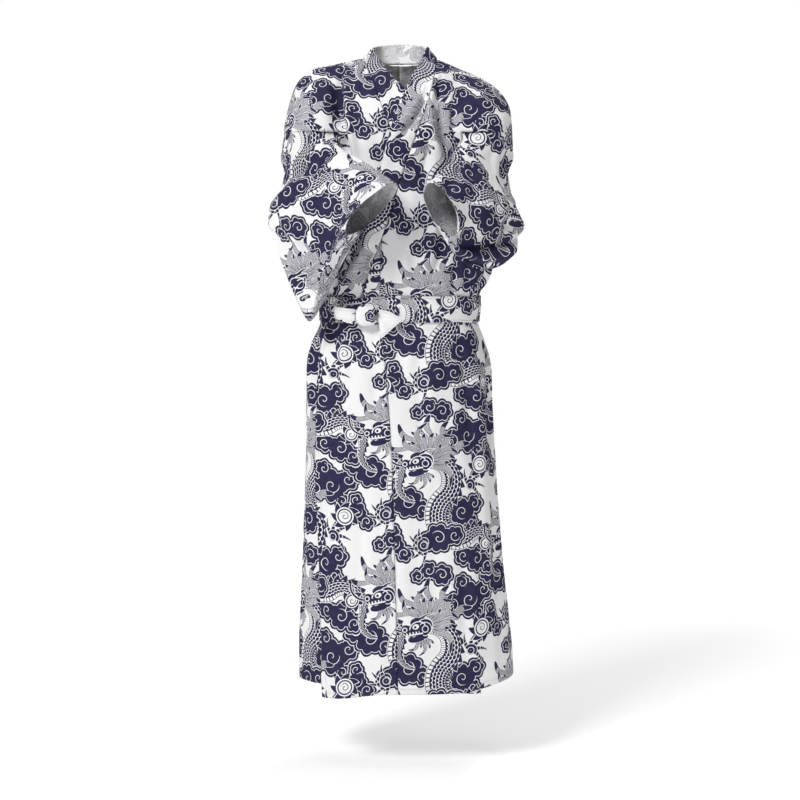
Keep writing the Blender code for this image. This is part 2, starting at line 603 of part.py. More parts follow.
def knot_lump(name):
    """The knot: the band wrapped once over itself, a rounded lump that stands on the belt."""
    centre = np.array([KNOT_CENTRE[0], knot_depth(), KNOT_CENTRE[1]])
    mesh = bmesh.new()
    bmesh.ops.create_uvsphere(mesh, u_segments=20, v_segments=12, radius=1.0)
    for vert in mesh.verts:
        spot = power(np.array(vert.co), KNOT_SQUARE) / np.linalg.norm(power(np.array(vert.co), 0.9))
        vert.co = centre + spot * np.array(KNOT_HALF)
    data = bpy.data.meshes.new(name)
    mesh.to_mesh(data)
    mesh.free()
    data.shade_smooth()
    return data


def belt_loop():
    """The bow's one loop: the band goes out to the wearer's right and folds back to the knot."""
    around = np.linspace(0, 1, 15)
    reach = np.where(around < 0.5, around * 2, 2 - around * 2)
    start = KNOT_CENTRE[0] - KNOT_HALF[0] - SEAM
    x = start - LOOP_LENGTH * np.sin(reach * np.pi / 2)
    half_gap = LOOP_GAP * np.sin(np.pi * np.clip(reach, 0, 1) ** 0.8) + 0.0022 * (reach < 1)
    middle = knot_depth() - LOOP_SET_BACK + 0.020 * ((start - x) / LOOP_LENGTH) ** 2
    y = middle + np.where(around < 0.5, -half_gap, half_gap)
    across = np.linspace(-0.5, 0.5, 5)[:, None]
    width = blend(LOOP_WIDTH[0], LOOP_WIDTH[1], np.sin(reach * np.pi / 2))
    z = LOOP_HEIGHT + across * width + 0.012 * reach
    return points(x, y, z)


def belt_tail():
    """The short free end: it leaves the knot, widens and hangs over the belt's lower edge."""
    along = np.linspace(0, 1, 8)
    across = np.linspace(-0.5, 0.5, 5)[:, None]
    turn = TAIL_SLOPE * smooth(along, 0.0, 0.8)
    width = blend(TAIL_WIDTH[0], TAIL_WIDTH[1], smooth(along, 0.0, 0.8))
    reach = TAIL_LENGTH * along * (1 + TAIL_SLANT * across)
    start = KNOT_CENTRE[0] + KNOT_HALF[0] + 2 * SEAM
    x = start + np.cos(TAIL_SLOPE) * reach + np.sin(turn) * across * width
    z = TAIL_HEIGHT - np.sin(TAIL_SLOPE) * reach + np.cos(turn) * across * width
    y = belt_face(x) - TAIL_CLEAR - 0.004 * np.sin(np.pi * along) - 0.006 * along
    return points(x, y, z)


def build_mesh(name, sheets, closed_round=False):
    """Join grids of points into one mesh; shared edges weld and thin ends close to a point."""
    mesh = bmesh.new()
    for sheet in sheets:
        rows, columns = sheet.shape[:2]
        verts = [[mesh.verts.new(spot) for spot in line] for line in sheet.tolist()]
        last = columns if closed_round else columns - 1
        for row in range(rows - 1):
            for column in range(last):
                following = (column + 1) % columns
                corners = (verts[row][column], verts[row][following],
                           verts[row + 1][following], verts[row + 1][column])
                mesh.faces.new(corners)
    bmesh.ops.remove_doubles(mesh, verts=mesh.verts, dist=2e-5)
    bmesh.ops.recalc_face_normals(mesh, faces=mesh.faces)
    data = bpy.data.meshes.new(name)
    mesh.to_mesh(data)
    mesh.free()
    data.shade_smooth()
    return data


def cloth_material(name, colour):
    material = bpy.data.materials.new(name)
    material.use_nodes = True
    shader = material.node_tree.nodes["Principled BSDF"]
    shader.inputs["Base Color"].default_value = (*colour, 1.0)
    shader.inputs["Roughness"].default_value = 0.85
    shader.inputs["Metallic"].default_value = 0.0
    return material


def add_solid(collection, name, data):
    """Make the object of one mesh, with its cotton material."""
    data.materials.append(cloth_material(name + "_cotton", CLOTH))
    piece = bpy.data.objects.new(name, data)
    collection.objects.link(piece)
    return piece


def add_piece(collection, name, sheets, wall=WALL, closed_round=False):
    """Make the object of one cut piece and give its sheet a wall."""
    piece = add_solid(collection, name, build_mesh(name, sheets, closed_round))
    shell = piece.modifiers.new("Wall", "SOLIDIFY")
    shell.thickness = wall
    shell.offset = 0.0


def clear_scene():
    for old in list(bpy.data.objects):
        bpy.data.objects.remove(old)


def main():
    clear_scene()
    collection = bpy.data.collections.new(PART_NAME)
    bpy.context.scene.collection.children.link(collection)
    add_piece(collection, "body_left", body(LEFT))
    add_piece(collection, "body_right", body(RIGHT))
    add_piece(collection, "gore_left", gore(LEFT))
    add_piece(collection, "gore_right", gore(RIGHT))
    add_piece(collection, "collar", collar(), COLLAR_WALL)
    add_piece(collection, "sleeve_left", sleeve(LEFT), closed_round=True)
    add_piece(collection, "sleeve_right", sleeve(RIGHT), closed_round=True)
    add_piece(collection, "belt_band", [belt_band()], BELT_WALL, closed_round=True)
    add_solid(collection, "belt_knot", knot_lump("belt_knot"))
    add_piece(collection, "belt_loop", [belt_loop()], BELT_WALL)
    add_piece(collection, "belt_tail", [belt_tail()], BELT_WALL)


main()
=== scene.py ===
"""Cotton yukata robe, dressed: the printed cloth of each sewn piece, its belt, and the studio.

Metres, +Z up, the front faces -Y, +X is the wearer's left. The origin is the middle of the
shoulder line. Every piece of cloth is a sheet of points worked out with numpy from the tables,
creased along its normals, and given its wall by Solidify.
"""

import bmesh
import bpy
import numpy as np
from bpy.props import FloatProperty, FloatVectorProperty, PointerProperty
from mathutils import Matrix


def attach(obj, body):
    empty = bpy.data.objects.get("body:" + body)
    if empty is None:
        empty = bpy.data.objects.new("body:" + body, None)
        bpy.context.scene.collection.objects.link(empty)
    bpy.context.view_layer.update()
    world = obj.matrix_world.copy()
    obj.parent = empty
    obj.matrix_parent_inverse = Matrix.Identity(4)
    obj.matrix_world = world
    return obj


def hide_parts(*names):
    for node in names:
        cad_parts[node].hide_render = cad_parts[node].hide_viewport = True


bl_info = {
    "name": "Cotton Yukata Robe",
    "version": (1, 0, 0),
    "blender": (4, 5, 0),
    "location": "3D View > Sidebar > Robe",
    "description": "Builds a printed cotton robe, its belt and a plain studio",
    "category": "Object",
}

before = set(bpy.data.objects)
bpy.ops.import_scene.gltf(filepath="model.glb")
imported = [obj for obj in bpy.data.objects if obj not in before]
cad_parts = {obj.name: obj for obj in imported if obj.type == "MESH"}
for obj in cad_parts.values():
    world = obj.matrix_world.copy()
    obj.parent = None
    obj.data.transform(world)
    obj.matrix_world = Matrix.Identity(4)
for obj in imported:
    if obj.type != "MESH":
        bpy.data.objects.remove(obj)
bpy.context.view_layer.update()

# The wearer's two sides, as the sign of X.
LEFT = 1
RIGHT = -1
SIDES = ((LEFT, "left"), (RIGHT, "right"))

SEAM = 0.0003            # clear gap kept at every seam
INSET = 0.0065           # how far the under front lies inside the outer front
SQUARE = 0.85            # below 1 the body's rings are fuller than an ellipse
YOKE = -0.17             # height of the armhole's outer side
ARMHOLE_DROP = 0.075     # how far the armhole dips below the yoke line at the side
HEM = -1.350
HEM_FRONT = {LEFT: 0.013, RIGHT: 0.003}     # the fronts hang this much lower than the back
HEM_CORNER = {LEFT: 0.019, RIGHT: 0.016}    # and their free lower corners lower by this again
HEM_CORNER_SPAN = {LEFT: (0.02, 0.17), RIGHT: (0.05, 0.18)}     # in X past the middle
HEM_SIDE = 0.012         # the outer front is shorter by this at the side
HEM_SIDE_SPAN = (0.13, 0.24)    # in X out to that side
HEM_BLEND = -0.95        # the rows take up the hem's line below this
RIDGE_FULLNESS = 0.72    # below 1 the yoke rounds off late, close to the shoulder line
BACK_FULLNESS = 0.30     # the same behind the neck
NECK_REACH = 0.078       # half the width of the neck opening
NECK_CURVE = {LEFT: 1.5, RIGHT: 1.1}    # how late the collar's seam turns in to the neck
BACK_NECK_DROP = 0.07    # share of the yoke's height cut away at the back of the neck
CREASE = 0.52            # place on the yoke of the crease between chest and arm
YOKE_BLEND = -0.29       # below this the cloth follows the body's rings alone
ARMHOLE_BLEND = -0.40    # and below this its rows are level
FLANK_FADE = 2.5         # the yoke's outline is gone this many times sooner than the flank's end
GORE_TOP = -0.392        # height where the gore's two seams meet
GORE_POINT = 0.008       # the gore's sharp point is cut this far below it
COLLAR_END = -0.565      # the collar runs down behind the belt to here
GORE_SPLIT = 0.003       # the gore is cut by the collar from this far below that
COLLAR_STAND = 0.0030    # how far it stands up from the shoulder
COLLAR_WALL = 0.0022     # it is folded double
BACK_EDGE = (0.082, 0.029)  # depth and height of its free edge behind the neck
BACK_REACH = 0.058       # half the width of that edge
SLEEVE_STAND_OFF = 0.0060   # room between sleeve and body beside the armhole
STAND_OFF_FADE = (-0.200, -0.150)   # it grows from none to all between these, as minus X
SLEEVE_FALL = 0.022      # how far the sleeve's first loops sink at each station
BAG_EASE = (0.25, 0.20)  # the bag thins from this much before the arm's share to this much past it
SLEEVE_CLEARANCE = 0.0090   # least room between a sleeve and the body
RIM_GAP = 0.0001         # the sleeve's rim hangs this far below the armhole's

# The belt lies over the outer front; its knot, its loop and its free end stand out from it.
BELT_WALL = 0.0026       # room the folded band takes up
BELT_CLOTH = 0.0020      # wall of the band that shows
BELT_WIDTH = 0.055
BELT_HEIGHT = -0.5430
BELT_LIFT = 0.0046       # from the body's ring out to the band's middle
BELT_STITCHING = 3.0     # its stitches lie this many times nearer its edge
BELT_WAVES = [(0.0016, 3, 0.7), (0.0010, 8, 2.0)]   # height, how many go round it, phase
BELT_CRUMPLE = 0.0008    # depth of the finer ones, most at its upper edge
BELT_ROLL = 0.0012       # half of how far its middle stands out past its edges
KNOT_CENTRE = (-0.0710, -0.5540)    # in X and height
KNOT_HALF = (0.0230, 0.0125, 0.0225)
KNOT_SQUARE = (0.80, 0.75)          # round it and up it; below 1 it is fuller than an egg
KNOT_PLEAT = 0.160                  # depth of its pleats as a share of its size
KNOT_PRINT = 0.03                   # half the width of the print's patch laid over it
LOOP_LENGTH = 0.044
LOOP_WIDTH = (0.032, 0.024)         # at the knot and at its far end
LOOP_GAP = 0.0060                   # half the opening between its two layers
LOOP_ROOM = 0.0022                  # least half of that opening
LOOP_BEND = 0.020                   # how far its end bends back round the waist
LOOP_PLEAT = 0.0013
LOOP_SET_BACK = 0.0015
LOOP_HEIGHT = -0.5570
TAIL_LENGTH = 0.042
TAIL_WIDTH = (0.030, 0.060)         # at the knot and at its free end
TAIL_SLOPE = np.radians(44)
TAIL_SLANT = 0.10                   # its end is cut at this slant
TAIL_HEIGHT = -0.5540
TAIL_CLEAR = 0.0031                 # from the band's face out to the tail's middle
TAIL_ARCH = 0.004                   # it arches off the band by this midway
TAIL_LEAN = 0.006                   # and stands off it by this more at its end
TAIL_FOLD = 0.0015                  # height of the folds that fan out in it

FOLD_WIDTH = 0.62        # share of a crease's listed width that is pressed
FOLD_ROUND = 0.45        # share of its listed bluntness
RIDGE_AWAY = 2.0         # a crease's ridge stands this many widths beside its trough
RIDGE_WIDTH = 1.3        # and is this many widths wide
PINNED = (0.0005, 0.020)    # creases fade in between these distances from a pinned seam
BELT_HOLD = (0.020, 0.055)  # and between these heights above and below the belt's middle
SEWING_REACH = 0.05      # beyond this a point is far from any sewing
HEM_CLEAR = 0.004        # a free edge this near a hem or a fold is no seam
BATCH = 2500             # points whose distances are worked out at a time
WELD = 4e-5              # points this close are one point
NO_LENGTH = 1e-6         # an edge shorter than this is dropped
WRONG_SIDE_DYE = 0.42    # share of the ink that shows through to the wrong side

FLOOR_REACH = 3.2        # radius of the studio floor
FLOOR_GLOW = (0.36, 1.0)    # its glow at the middle and at the rim
GLOW_REACH = 0.8         # share of the radius past which it glows as at the rim
ROOM = 14.0              # radius of the white room round it, which only the camera sees
WORLD_LIGHT = 0.22
# The studio's lights: name, place, point they face, size in metres, watts.
LIGHTS = [
    ("key", (-2.3, -3.1, 2.3), (0, 0, -0.6), (1.4, 1.4), 150),
    ("fill", (3.0, -3.2, 0.8), (0, 0, -0.7), (2.4, 3.0), 9),
    ("top", (0.3, -0.4, 2.8), (0, 0, -0.7), (2.2, 2.0), 26),
    ("back", (2.0, 3.0, 3.0), (0, 0, -0.6), (1.8, 1.8), 60),
]

# Points along and across each sheet, fine enough for its creases.
CHEST_COLUMNS = 40
ARM_COLUMNS = 36
SIDE_COLUMNS = 56
NECK_COLUMNS = 14
YOKE_ROWS = 40
GORE_COLUMNS = 16
GORE_ROWS = 28           # beside the collar; below it the gore has the body's own rows
COLLAR_COLUMNS = 10
COLLAR_ROWS = 62         # below the yoke line
LOOP_POINTS = 132
LAYING_STEP = 6          # a sleeve is laid flat on every sixth of them
SLEEVE_ROWS = 116
# Where along its table a sleeve's loops are read, closer together near the armhole.
STATIONS = np.concatenate([[1], np.arange(1.5, 4, 0.5), np.arange(4, 10.1, 0.75)])
BAND_COLUMNS, BAND_ROWS = 361, 13
KNOT_COLUMNS, KNOT_ROWS = 121, 61
LOOP_COLUMNS, LOOP_ROWS = 91, 25
TAIL_COLUMNS, TAIL_ROWS = 49, 37
STUDIO_COLUMNS, STUDIO_ROWS = 97, 25
LOWER_HEIGHTS = np.linspace(HEM, YOKE, 236)
SHOULDER_DROP = 0.20     # cloth between the shoulder line and the yoke line
YOKE_LEAN = np.sin(np.linspace(0, np.pi / 2, YOKE_ROWS + 1))    # the yoke's rows up its height

# Where on the bolt each piece was cut, across and along it. The sleeves' cuts carry the print on
# from the fronts over the armholes.
BODY_CUTS = {LEFT: (0.030, 0.085), RIGHT: (0.115, 0.230)}
BACK_CUT = (0.060, 0.160)
GORE_CUTS = {LEFT: (0.110, 0.020), RIGHT: (0.010, 0.150)}
SLEEVE_CUTS = {LEFT: (0.264, -0.110), RIGHT: (-0.109, 0.035)}
COLLAR_CUT = (0.095, 0.020)
BELT_CUT = (0.105, -0.8375)
KNOT_CUT = (0.272, 0.505)
LOOP_CUT = (0.215, 0.502)
TAIL_CUT = (0.242, 0.534)


class Table:
    """Rows of named columns, read smoothly at any value of the first column."""

    def __init__(self, columns, rows):
        self.columns = columns.split()
        self.rows = np.array(rows, float)

    def __call__(self, column, at):
        """Read a column on cubics through its rows, with slopes taken from each row's neighbours;
        past either end it keeps its last value."""
        keys = self.rows[:, 0]
        values = self.rows[:, self.columns.index(column)]
        slopes = np.gradient(values, keys)
        at = np.clip(at, keys[0], keys[-1])
        left = np.clip(np.searchsorted(keys, at) - 1, 0, len(keys) - 2)
        span = keys[left + 1] - keys[left]
        t = (at - keys[left]) / span
        value = (2 * t**3 - 3 * t**2 + 1) * values[left] + (3 * t**2 - 2 * t**3) * values[left + 1]
        lean = (t**3 - 2 * t**2 + t) * slopes[left] + (t**3 - t**2) * slopes[left + 1]
        return value + span * lean


# Rings of the outer cloth round the body: centre in X, half width, depth in front and behind.
TORSO = Table("height centre half_width front back", [
    (-1.400, 0.0155, 0.2370, 0.140, 0.122),
    (-1.350, 0.0145, 0.2355, 0.139, 0.121),
    (-1.250, 0.0115, 0.2315, 0.137, 0.120),
    (-1.100, 0.0075, 0.2205, 0.134, 0.120),
    (-0.950, 0.0040, 0.2110, 0.132, 0.121),
    (-0.850, 0.0020, 0.2050, 0.131, 0.124),
    (-0.750, -0.0030, 0.2000, 0.130, 0.128),
    (-0.650, -0.0040, 0.1950, 0.127, 0.124),
    (-0.612, -0.0045, 0.1850, 0.121, 0.114),
    (-0.576, -0.0020, 0.1710, 0.1135, 0.102),
    (-0.543, 0.0000, 0.1690, 0.1120, 0.100),
    (-0.510, 0.0015, 0.1710, 0.1140, 0.101),
    (-0.480, 0.0040, 0.1850, 0.123, 0.107),
    (-0.455, 0.0060, 0.1900, 0.127, 0.110),
    (-0.400, 0.0040, 0.1720, 0.128, 0.112),
    (-0.330, 0.0010, 0.1530, 0.127, 0.111),
    (-0.250, 0.0000, 0.1500, 0.126, 0.108),
    (-0.170, 0.0000, 0.1650, 0.124, 0.102),
])

# The yoke from the middle out to the arm: reach in X, height of the shoulder line, and the depth
# in front and behind at the yoke line. One table for each of the wearer's sides.
YOKE_COLUMNS = "place reach ridge front back"
YOKE_LEFT = Table(YOKE_COLUMNS, [
    (0.000, 0.000, -0.008, 0.124, 0.102),
    (0.200, 0.050, -0.009, 0.122, 0.101),
    (0.310, 0.078, -0.012, 0.117, 0.099),
    (0.420, 0.105, -0.022, 0.108, 0.096),
    (0.520, 0.128, -0.032, 0.096, 0.090),
    (0.620, 0.154, -0.042, 0.106, 0.088),
    (0.710, 0.177, -0.053, 0.108, 0.083),
    (0.800, 0.201, -0.068, 0.098, 0.073),
    (0.880, 0.223, -0.090, 0.082, 0.061),
    (0.945, 0.237, -0.121, 0.054, 0.042),
    (0.980, 0.2395, -0.148, 0.030, 0.024),
    (1.000, 0.241, -0.170, 0.000, 0.000),
])
YOKE_RIGHT = Table(YOKE_COLUMNS, [
    (0.000, 0.000, -0.008, 0.124, 0.102),
    (0.200, 0.050, -0.008, 0.122, 0.101),
    (0.310, 0.078, -0.009, 0.117, 0.099),
    (0.420, 0.105, -0.014, 0.108, 0.096),
    (0.520, 0.128, -0.019, 0.096, 0.090),
    (0.620, 0.154, -0.024, 0.106, 0.088),
    (0.710, 0.180, -0.029, 0.109, 0.083),
    (0.800, 0.206, -0.044, 0.100, 0.074),
    (0.880, 0.226, -0.072, 0.083, 0.061),
    (0.945, 0.239, -0.112, 0.055, 0.042),
    (0.980, 0.246, -0.145, 0.031, 0.024),
    (1.000, 0.249, -0.170, 0.000, 0.000),
])

# Where each front ends, in X: its panel's edge is the collar seam down to the top of the front
# gore and the gore's seam below that; collar is the collar seam all the way; gore is the free edge.
FRONT_LEFT = Table("height panel collar gore", [
    (-1.400, -0.0030, -0.100, -0.1655),
    (-1.100, -0.0100, -0.100, -0.1800),
    (-0.820, -0.0190, -0.100, -0.1810),
    (-0.620, -0.0350, -0.100, -0.1690),
    (-0.565, -0.0420, -0.1000, -0.1530),
    (-0.518, -0.0430, -0.0842, -0.1500),
    (-0.469, -0.0420, -0.0672, -0.1500),
    (-0.400, -0.0385, -0.0410, -0.1500),
    (-0.392, -0.0380, -0.0380, -0.1500),
    (-0.379, -0.0340, -0.0340, -0.1500),
    (-0.320, -0.0140, -0.0140, -0.1500),
    (-0.267, 0.0021, 0.0021, -0.1500),
    (-0.206, 0.0230, 0.0230, -0.1500),
    (-0.170, 0.0370, 0.0370, -0.1500),
])
FRONT_RIGHT = Table("height panel collar gore", [
    (-1.400, 0.0200, 0.122, 0.1800),
    (-1.100, 0.0220, 0.122, 0.1740),
    (-0.820, 0.0280, 0.122, 0.1650),
    (-0.620, 0.0420, 0.110, 0.1500),
    (-0.565, 0.0500, 0.1100, 0.1450),
    (-0.518, 0.0550, 0.0980, 0.1450),
    (-0.469, 0.0580, 0.0840, 0.1450),
    (-0.400, 0.0600, 0.0625, 0.1450),
    (-0.392, 0.0595, 0.0595, 0.1450),
    (-0.379, 0.0560, 0.0560, 0.1450),
    (-0.320, 0.0380, 0.0380, 0.1450),
    (-0.267, 0.0210, 0.0210, 0.1450),
    (-0.206, 0.0000, 0.0000, 0.1450),
    (-0.170, -0.0170, -0.0170, 0.1450),
])

# Free edge of the collar on the wearer's left (top layer) and right (under layer), by the height
# of the seam beside it.
EDGE_COLUMNS = "seam_height free_x free_height"
EDGE_LEFT = Table(EDGE_COLUMNS, [
    (-0.565, -0.1530, -0.5480),
    (-0.518, -0.1390, -0.5000),
    (-0.469, -0.1220, -0.4520),
    (-0.379, -0.0880, -0.3650),
    (-0.267, -0.0420, -0.2520),
    (-0.206, -0.0260, -0.1870),
    (-0.170, -0.0160, -0.1520),
    (-0.135, -0.0030, -0.1140),
    (-0.081, 0.0190, -0.0630),
    (-0.045, 0.0350, -0.0320),
    (-0.012, 0.0580, 0.0130),
])
EDGE_RIGHT = Table(EDGE_COLUMNS, [
    (-0.565, 0.1500, -0.5480),
    (-0.518, 0.1420, -0.5000),
    (-0.469, 0.1320, -0.4520),
    (-0.379, 0.1080, -0.3650),
    (-0.267, 0.0700, -0.2500),
    (-0.206, 0.0480, -0.1820),
    (-0.170, 0.0330, -0.1380),
    (-0.135, 0.0160, -0.0900),
    (-0.081, -0.0120, -0.0560),
    (-0.045, -0.0330, -0.0300),
    (-0.009, -0.0580, 0.0120),
])

# A sleeve's sections, from the armhole round the bent elbow to the cuff. Each runs from an inner
# point to an outer one; the front and back headings say which way its two sides bulge in plan,
# and bag says how thin it hangs past the share of its length that the arm fills.
SLEEVE_COLUMNS = ("station in_x in_y in_z out_x out_y out_z front_way front_depth"
                  " back_way back_depth back_drop arm bag")
SLEEVE_RIGHT = Table(SLEEVE_COLUMNS, [
    (1, 0.134, -0.114, -0.188, 0.2500, -0.010, -0.205, 40, 0.034, 0, 0.095, 0.078, 1.0, 1.0),
    (2, 0.130, -0.126, -0.198, 0.2420, -0.015, -0.242, 40, 0.040, 0, 0.095, 0.084, 1.0, 1.0),
    (3, 0.121, -0.137, -0.207, 0.2490, -0.035, -0.300, 38, 0.045, 5, 0.088, 0.078, 1.0, 1.0),
    (4, 0.109, -0.148, -0.216, 0.2740, -0.072, -0.345, 36, 0.050, 15, 0.075, 0.060, 0.9, 0.9),
    (5, 0.096, -0.161, -0.224, 0.2590, -0.094, -0.412, 36, 0.050, 28, 0.060, 0.035, 0.6, 0.6),
    (6, 0.081, -0.175, -0.232, 0.2300, -0.115, -0.490, 37, 0.050, 35, 0.050, 0.012, 0.5, 0.42),
    (7, 0.063, -0.190, -0.244, 0.1900, -0.135, -0.566, 38, 0.048, 38, 0.046, 0.000, 0.45, 0.44),
    (8, 0.043, -0.206, -0.257, 0.1630, -0.160, -0.496, 38, 0.046, 38, 0.045, 0.000, 0.5, 0.68),
    (9, 0.026, -0.221, -0.269, 0.1360, -0.192, -0.430, 38, 0.045, 38, 0.044, 0.000, 0.6, 0.70),
    (10, 0.012, -0.233, -0.280, 0.1050, -0.226, -0.384, 38, 0.044, 38, 0.044, 0.000, 0.9, 0.80),
])
SLEEVE_LEFT = Table(SLEEVE_COLUMNS, [
    (1, 0.122, -0.115, -0.190, 0.2390, -0.010, -0.208, 40, 0.034, 0, 0.092, 0.078, 1.0, 1.0),
    (2, 0.115, -0.126, -0.204, 0.2290, -0.015, -0.245, 40, 0.040, 0, 0.092, 0.084, 1.0, 1.0),
    (3, 0.109, -0.139, -0.218, 0.2350, -0.038, -0.315, 38, 0.045, 5, 0.086, 0.078, 1.0, 1.0),
    (4, 0.102, -0.153, -0.230, 0.2550, -0.075, -0.373, 36, 0.050, 15, 0.075, 0.060, 0.9, 0.9),
    (5, 0.095, -0.167, -0.241, 0.2440, -0.105, -0.412, 36, 0.050, 28, 0.060, 0.035, 0.7, 0.70),
    (6, 0.088, -0.181, -0.251, 0.2220, -0.130, -0.442, 37, 0.050, 35, 0.052, 0.012, 0.6, 0.55),
    (7, 0.081, -0.195, -0.260, 0.1880, -0.155, -0.457, 38, 0.048, 38, 0.047, 0.000, 0.55, 0.45),
    (8, 0.074, -0.208, -0.268, 0.1480, -0.180, -0.450, 38, 0.046, 38, 0.046, 0.000, 0.55, 0.45),
    (9, 0.068, -0.221, -0.275, 0.1150, -0.207, -0.425, 38, 0.045, 38, 0.045, 0.000, 0.6, 0.55),
    (10, 0.062, -0.234, -0.281, 0.1080, -0.240, -0.388, 38, 0.044, 38, 0.044, 0.000, 0.9, 0.80),
])

YOKES = {LEFT: YOKE_LEFT, RIGHT: YOKE_RIGHT}
FRONTS = {LEFT: FRONT_LEFT, RIGHT: FRONT_RIGHT}
EDGES = {LEFT: EDGE_LEFT, RIGHT: EDGE_RIGHT}
SLEEVES = {LEFT: SLEEVE_LEFT, RIGHT: SLEEVE_RIGHT}

# Creases pressed into the cloth: a soft trough with a ridge beside it. The columns are
#     across, height, across_end, height_end, bow, depth, width, blunt, ridge
# in millimetres. Across is X on the front and back and Y on the sides; ridge is its share of the
# depth, and its sign says on which side of the trough it stands.
TORSO_FRONT = [
    # right shoulder and chest, down into the crook of the arm
    (-124, -30, -98, -262, -12, 11.0, 10, 5, 0.7),
    (-100, -70, -85, -200, -10, 3.2, 9, 5, -0.6),
    (-150, -45, -128, -150, 6, 3.0, 8, 4, 0.6),
    (-70, -120, -40, -255, 8, 2.6, 12, 6, 0.5),
    # outer collar and left chest
    (62, -75, -8, -185, 10, 5.0, 8, 4, -0.7),
    (40, -150, 6, -230, 4, 2.4, 9, 4, 0.6),
    (88, -50, 104, -230, -14, 8.0, 10, 5, -0.7),
    (116, -85, 126, -200, -6, 4.2, 8, 4, 0.6),
    (140, -105, 225, -125, -10, 1.6, 9, 4, 0.4),
    (60, -180, 36, -290, 6, 2.6, 11, 5, 0.5),
    # under the folded arms, gathered down to the belt
    (-82, -330, -122, -470, 10, 6.0, 11, 5, 0.6),
    (-55, -400, -85, -515, -6, 3.6, 9, 4, -0.6),
    (-20, -380, -12, -512, 4, 2.6, 10, 5, 0.6),
    (30, -400, 40, -515, -5, 3.4, 9, 4, 0.6),
    (92, -350, 70, -470, 6, 6.0, 11, 5, -0.6),
    (120, -420, 105, -515, 4, 3.6, 9, 4, 0.5),
    (-150, -440, -135, -515, 4, 3.8, 9, 4, -0.5),
    (150, -400, 145, -512, -4, 3.4, 9, 4, 0.5),
    # short tucks below the belt and long soft falls of the skirt
    (-132, -572, -150, -760, 5, 3.4, 10, 5, 0.5),
    (-98, -572, -104, -690, -3, 2.4, 8, 4, -0.6),
    (-58, -572, -54, -830, 4, 2.2, 12, 6, 0.5),
    (-6, -572, 4, -700, 3, 2.4, 9, 4, 0.6),
    (40, -572, 52, -930, -4, 2.6, 13, 6, 0.5),
    (84, -572, 96, -700, 3, 2.8, 9, 4, -0.6),
    (122, -572, 150, -860, 6, 3.4, 12, 5, 0.5),
    (150, -690, 178, -1240, 6, 3.4, 16, 8, 0.5),
    (70, -900, 92, -1330, -6, 2.8, 18, 9, 0.4),
    (-85, -820, -98, -1300, 6, 2.6, 18, 9, 0.4),
    (-160, -850, -176, -1340, -4, 3.0, 15, 7, -0.4),
    (-30, -1000, -22, -1345, 4, 2.4, 16, 8, 0.4),
    (135, -1050, 150, -1345, -4, 2.6, 14, 7, 0.4),
    (190, -780, 208, -1150, 4, 3.0, 13, 6, -0.5),
]
TORSO_BACK = [
    (-120, -60, -70, -260, 14, 5.0, 12, 6, 0.6),
    (118, -55, 76, -230, -12, 5.0, 12, 6, -0.6),
    (-45, -40, -30, -200, 6, 2.2, 14, 7, 0.5),
    (60, -200, 32, -400, -10, 3.2, 13, 6, 0.5),
    (-85, -280, -46, -430, -10, 3.4, 13, 6, -0.5),
    (-120, -390, -98, -514, 6, 5.0, 10, 5, 0.6),
    (-70, -420, -62, -514, -4, 4.0, 8, 4, 0.6),
    (-22, -400, -28, -514, 4, 3.4, 9, 4, -0.6),
    (18, -430, 14, -514, -3, 4.2, 8, 4, 0.6),
    (64, -390, 60, -514, 5, 3.8, 9, 4, 0.6),
    (112, -410, 100, -514, -4, 5.0, 10, 5, -0.6),
    (-110, -572, -136, -820, 6, 4.2, 12, 6, 0.5),
    (-66, -572, -74, -700, -3, 3.2, 9, 4, 0.6),
    (-20, -572, -26, -880, 4, 3.2, 13, 6, -0.5),
    (30, -572, 34, -690, 3, 3.0, 9, 4, 0.6),
    (74, -572, 98, -900, -6, 3.8, 13, 6, 0.5),
    (120, -572, 150, -760, 4, 3.6, 11, 5, -0.6),
    (-150, -860, -180, -1330, 6, 3.8, 18, 9, 0.5),
    (-62, -960, -70, -1340, -6, 3.0, 20, 10, 0.4),
    (48, -900, 60, -1345, 6, 3.2, 20, 10, 0.4),
    (150, -820, 176, -1335, -5, 3.8, 17, 8, 0.5),
]
TORSO_LEFT_SIDE = [
    (-40, -260, -10, -420, 10, 5.0, 12, 6, 0.5),
    (40, -270, 20, -440, -10, 4.6, 12, 6, -0.5),
    (-60, -400, -44, -514, 4, 4.2, 10, 5, 0.6),
    (10, -420, 6, -514, 4, 4.4, 9, 4, 0.6),
    (60, -400, 50, -514, -4, 4.0, 10, 5, -0.6),
    (-40, -572, -58, -860, 6, 3.8, 12, 6, 0.5),
    (12, -572, 14, -740, 4, 3.4, 9, 5, -0.6),
    (56, -572, 74, -920, -6, 3.6, 13, 6, 0.5),
    (-64, -940, -82, -1335, 6, 3.2, 17, 8, 0.4),
    (10, -860, 16, -1300, -6, 3.4, 18, 9, 0.5),
    (70, -1020, 86, -1340, 4, 3.0, 17, 8, 0.4),
]
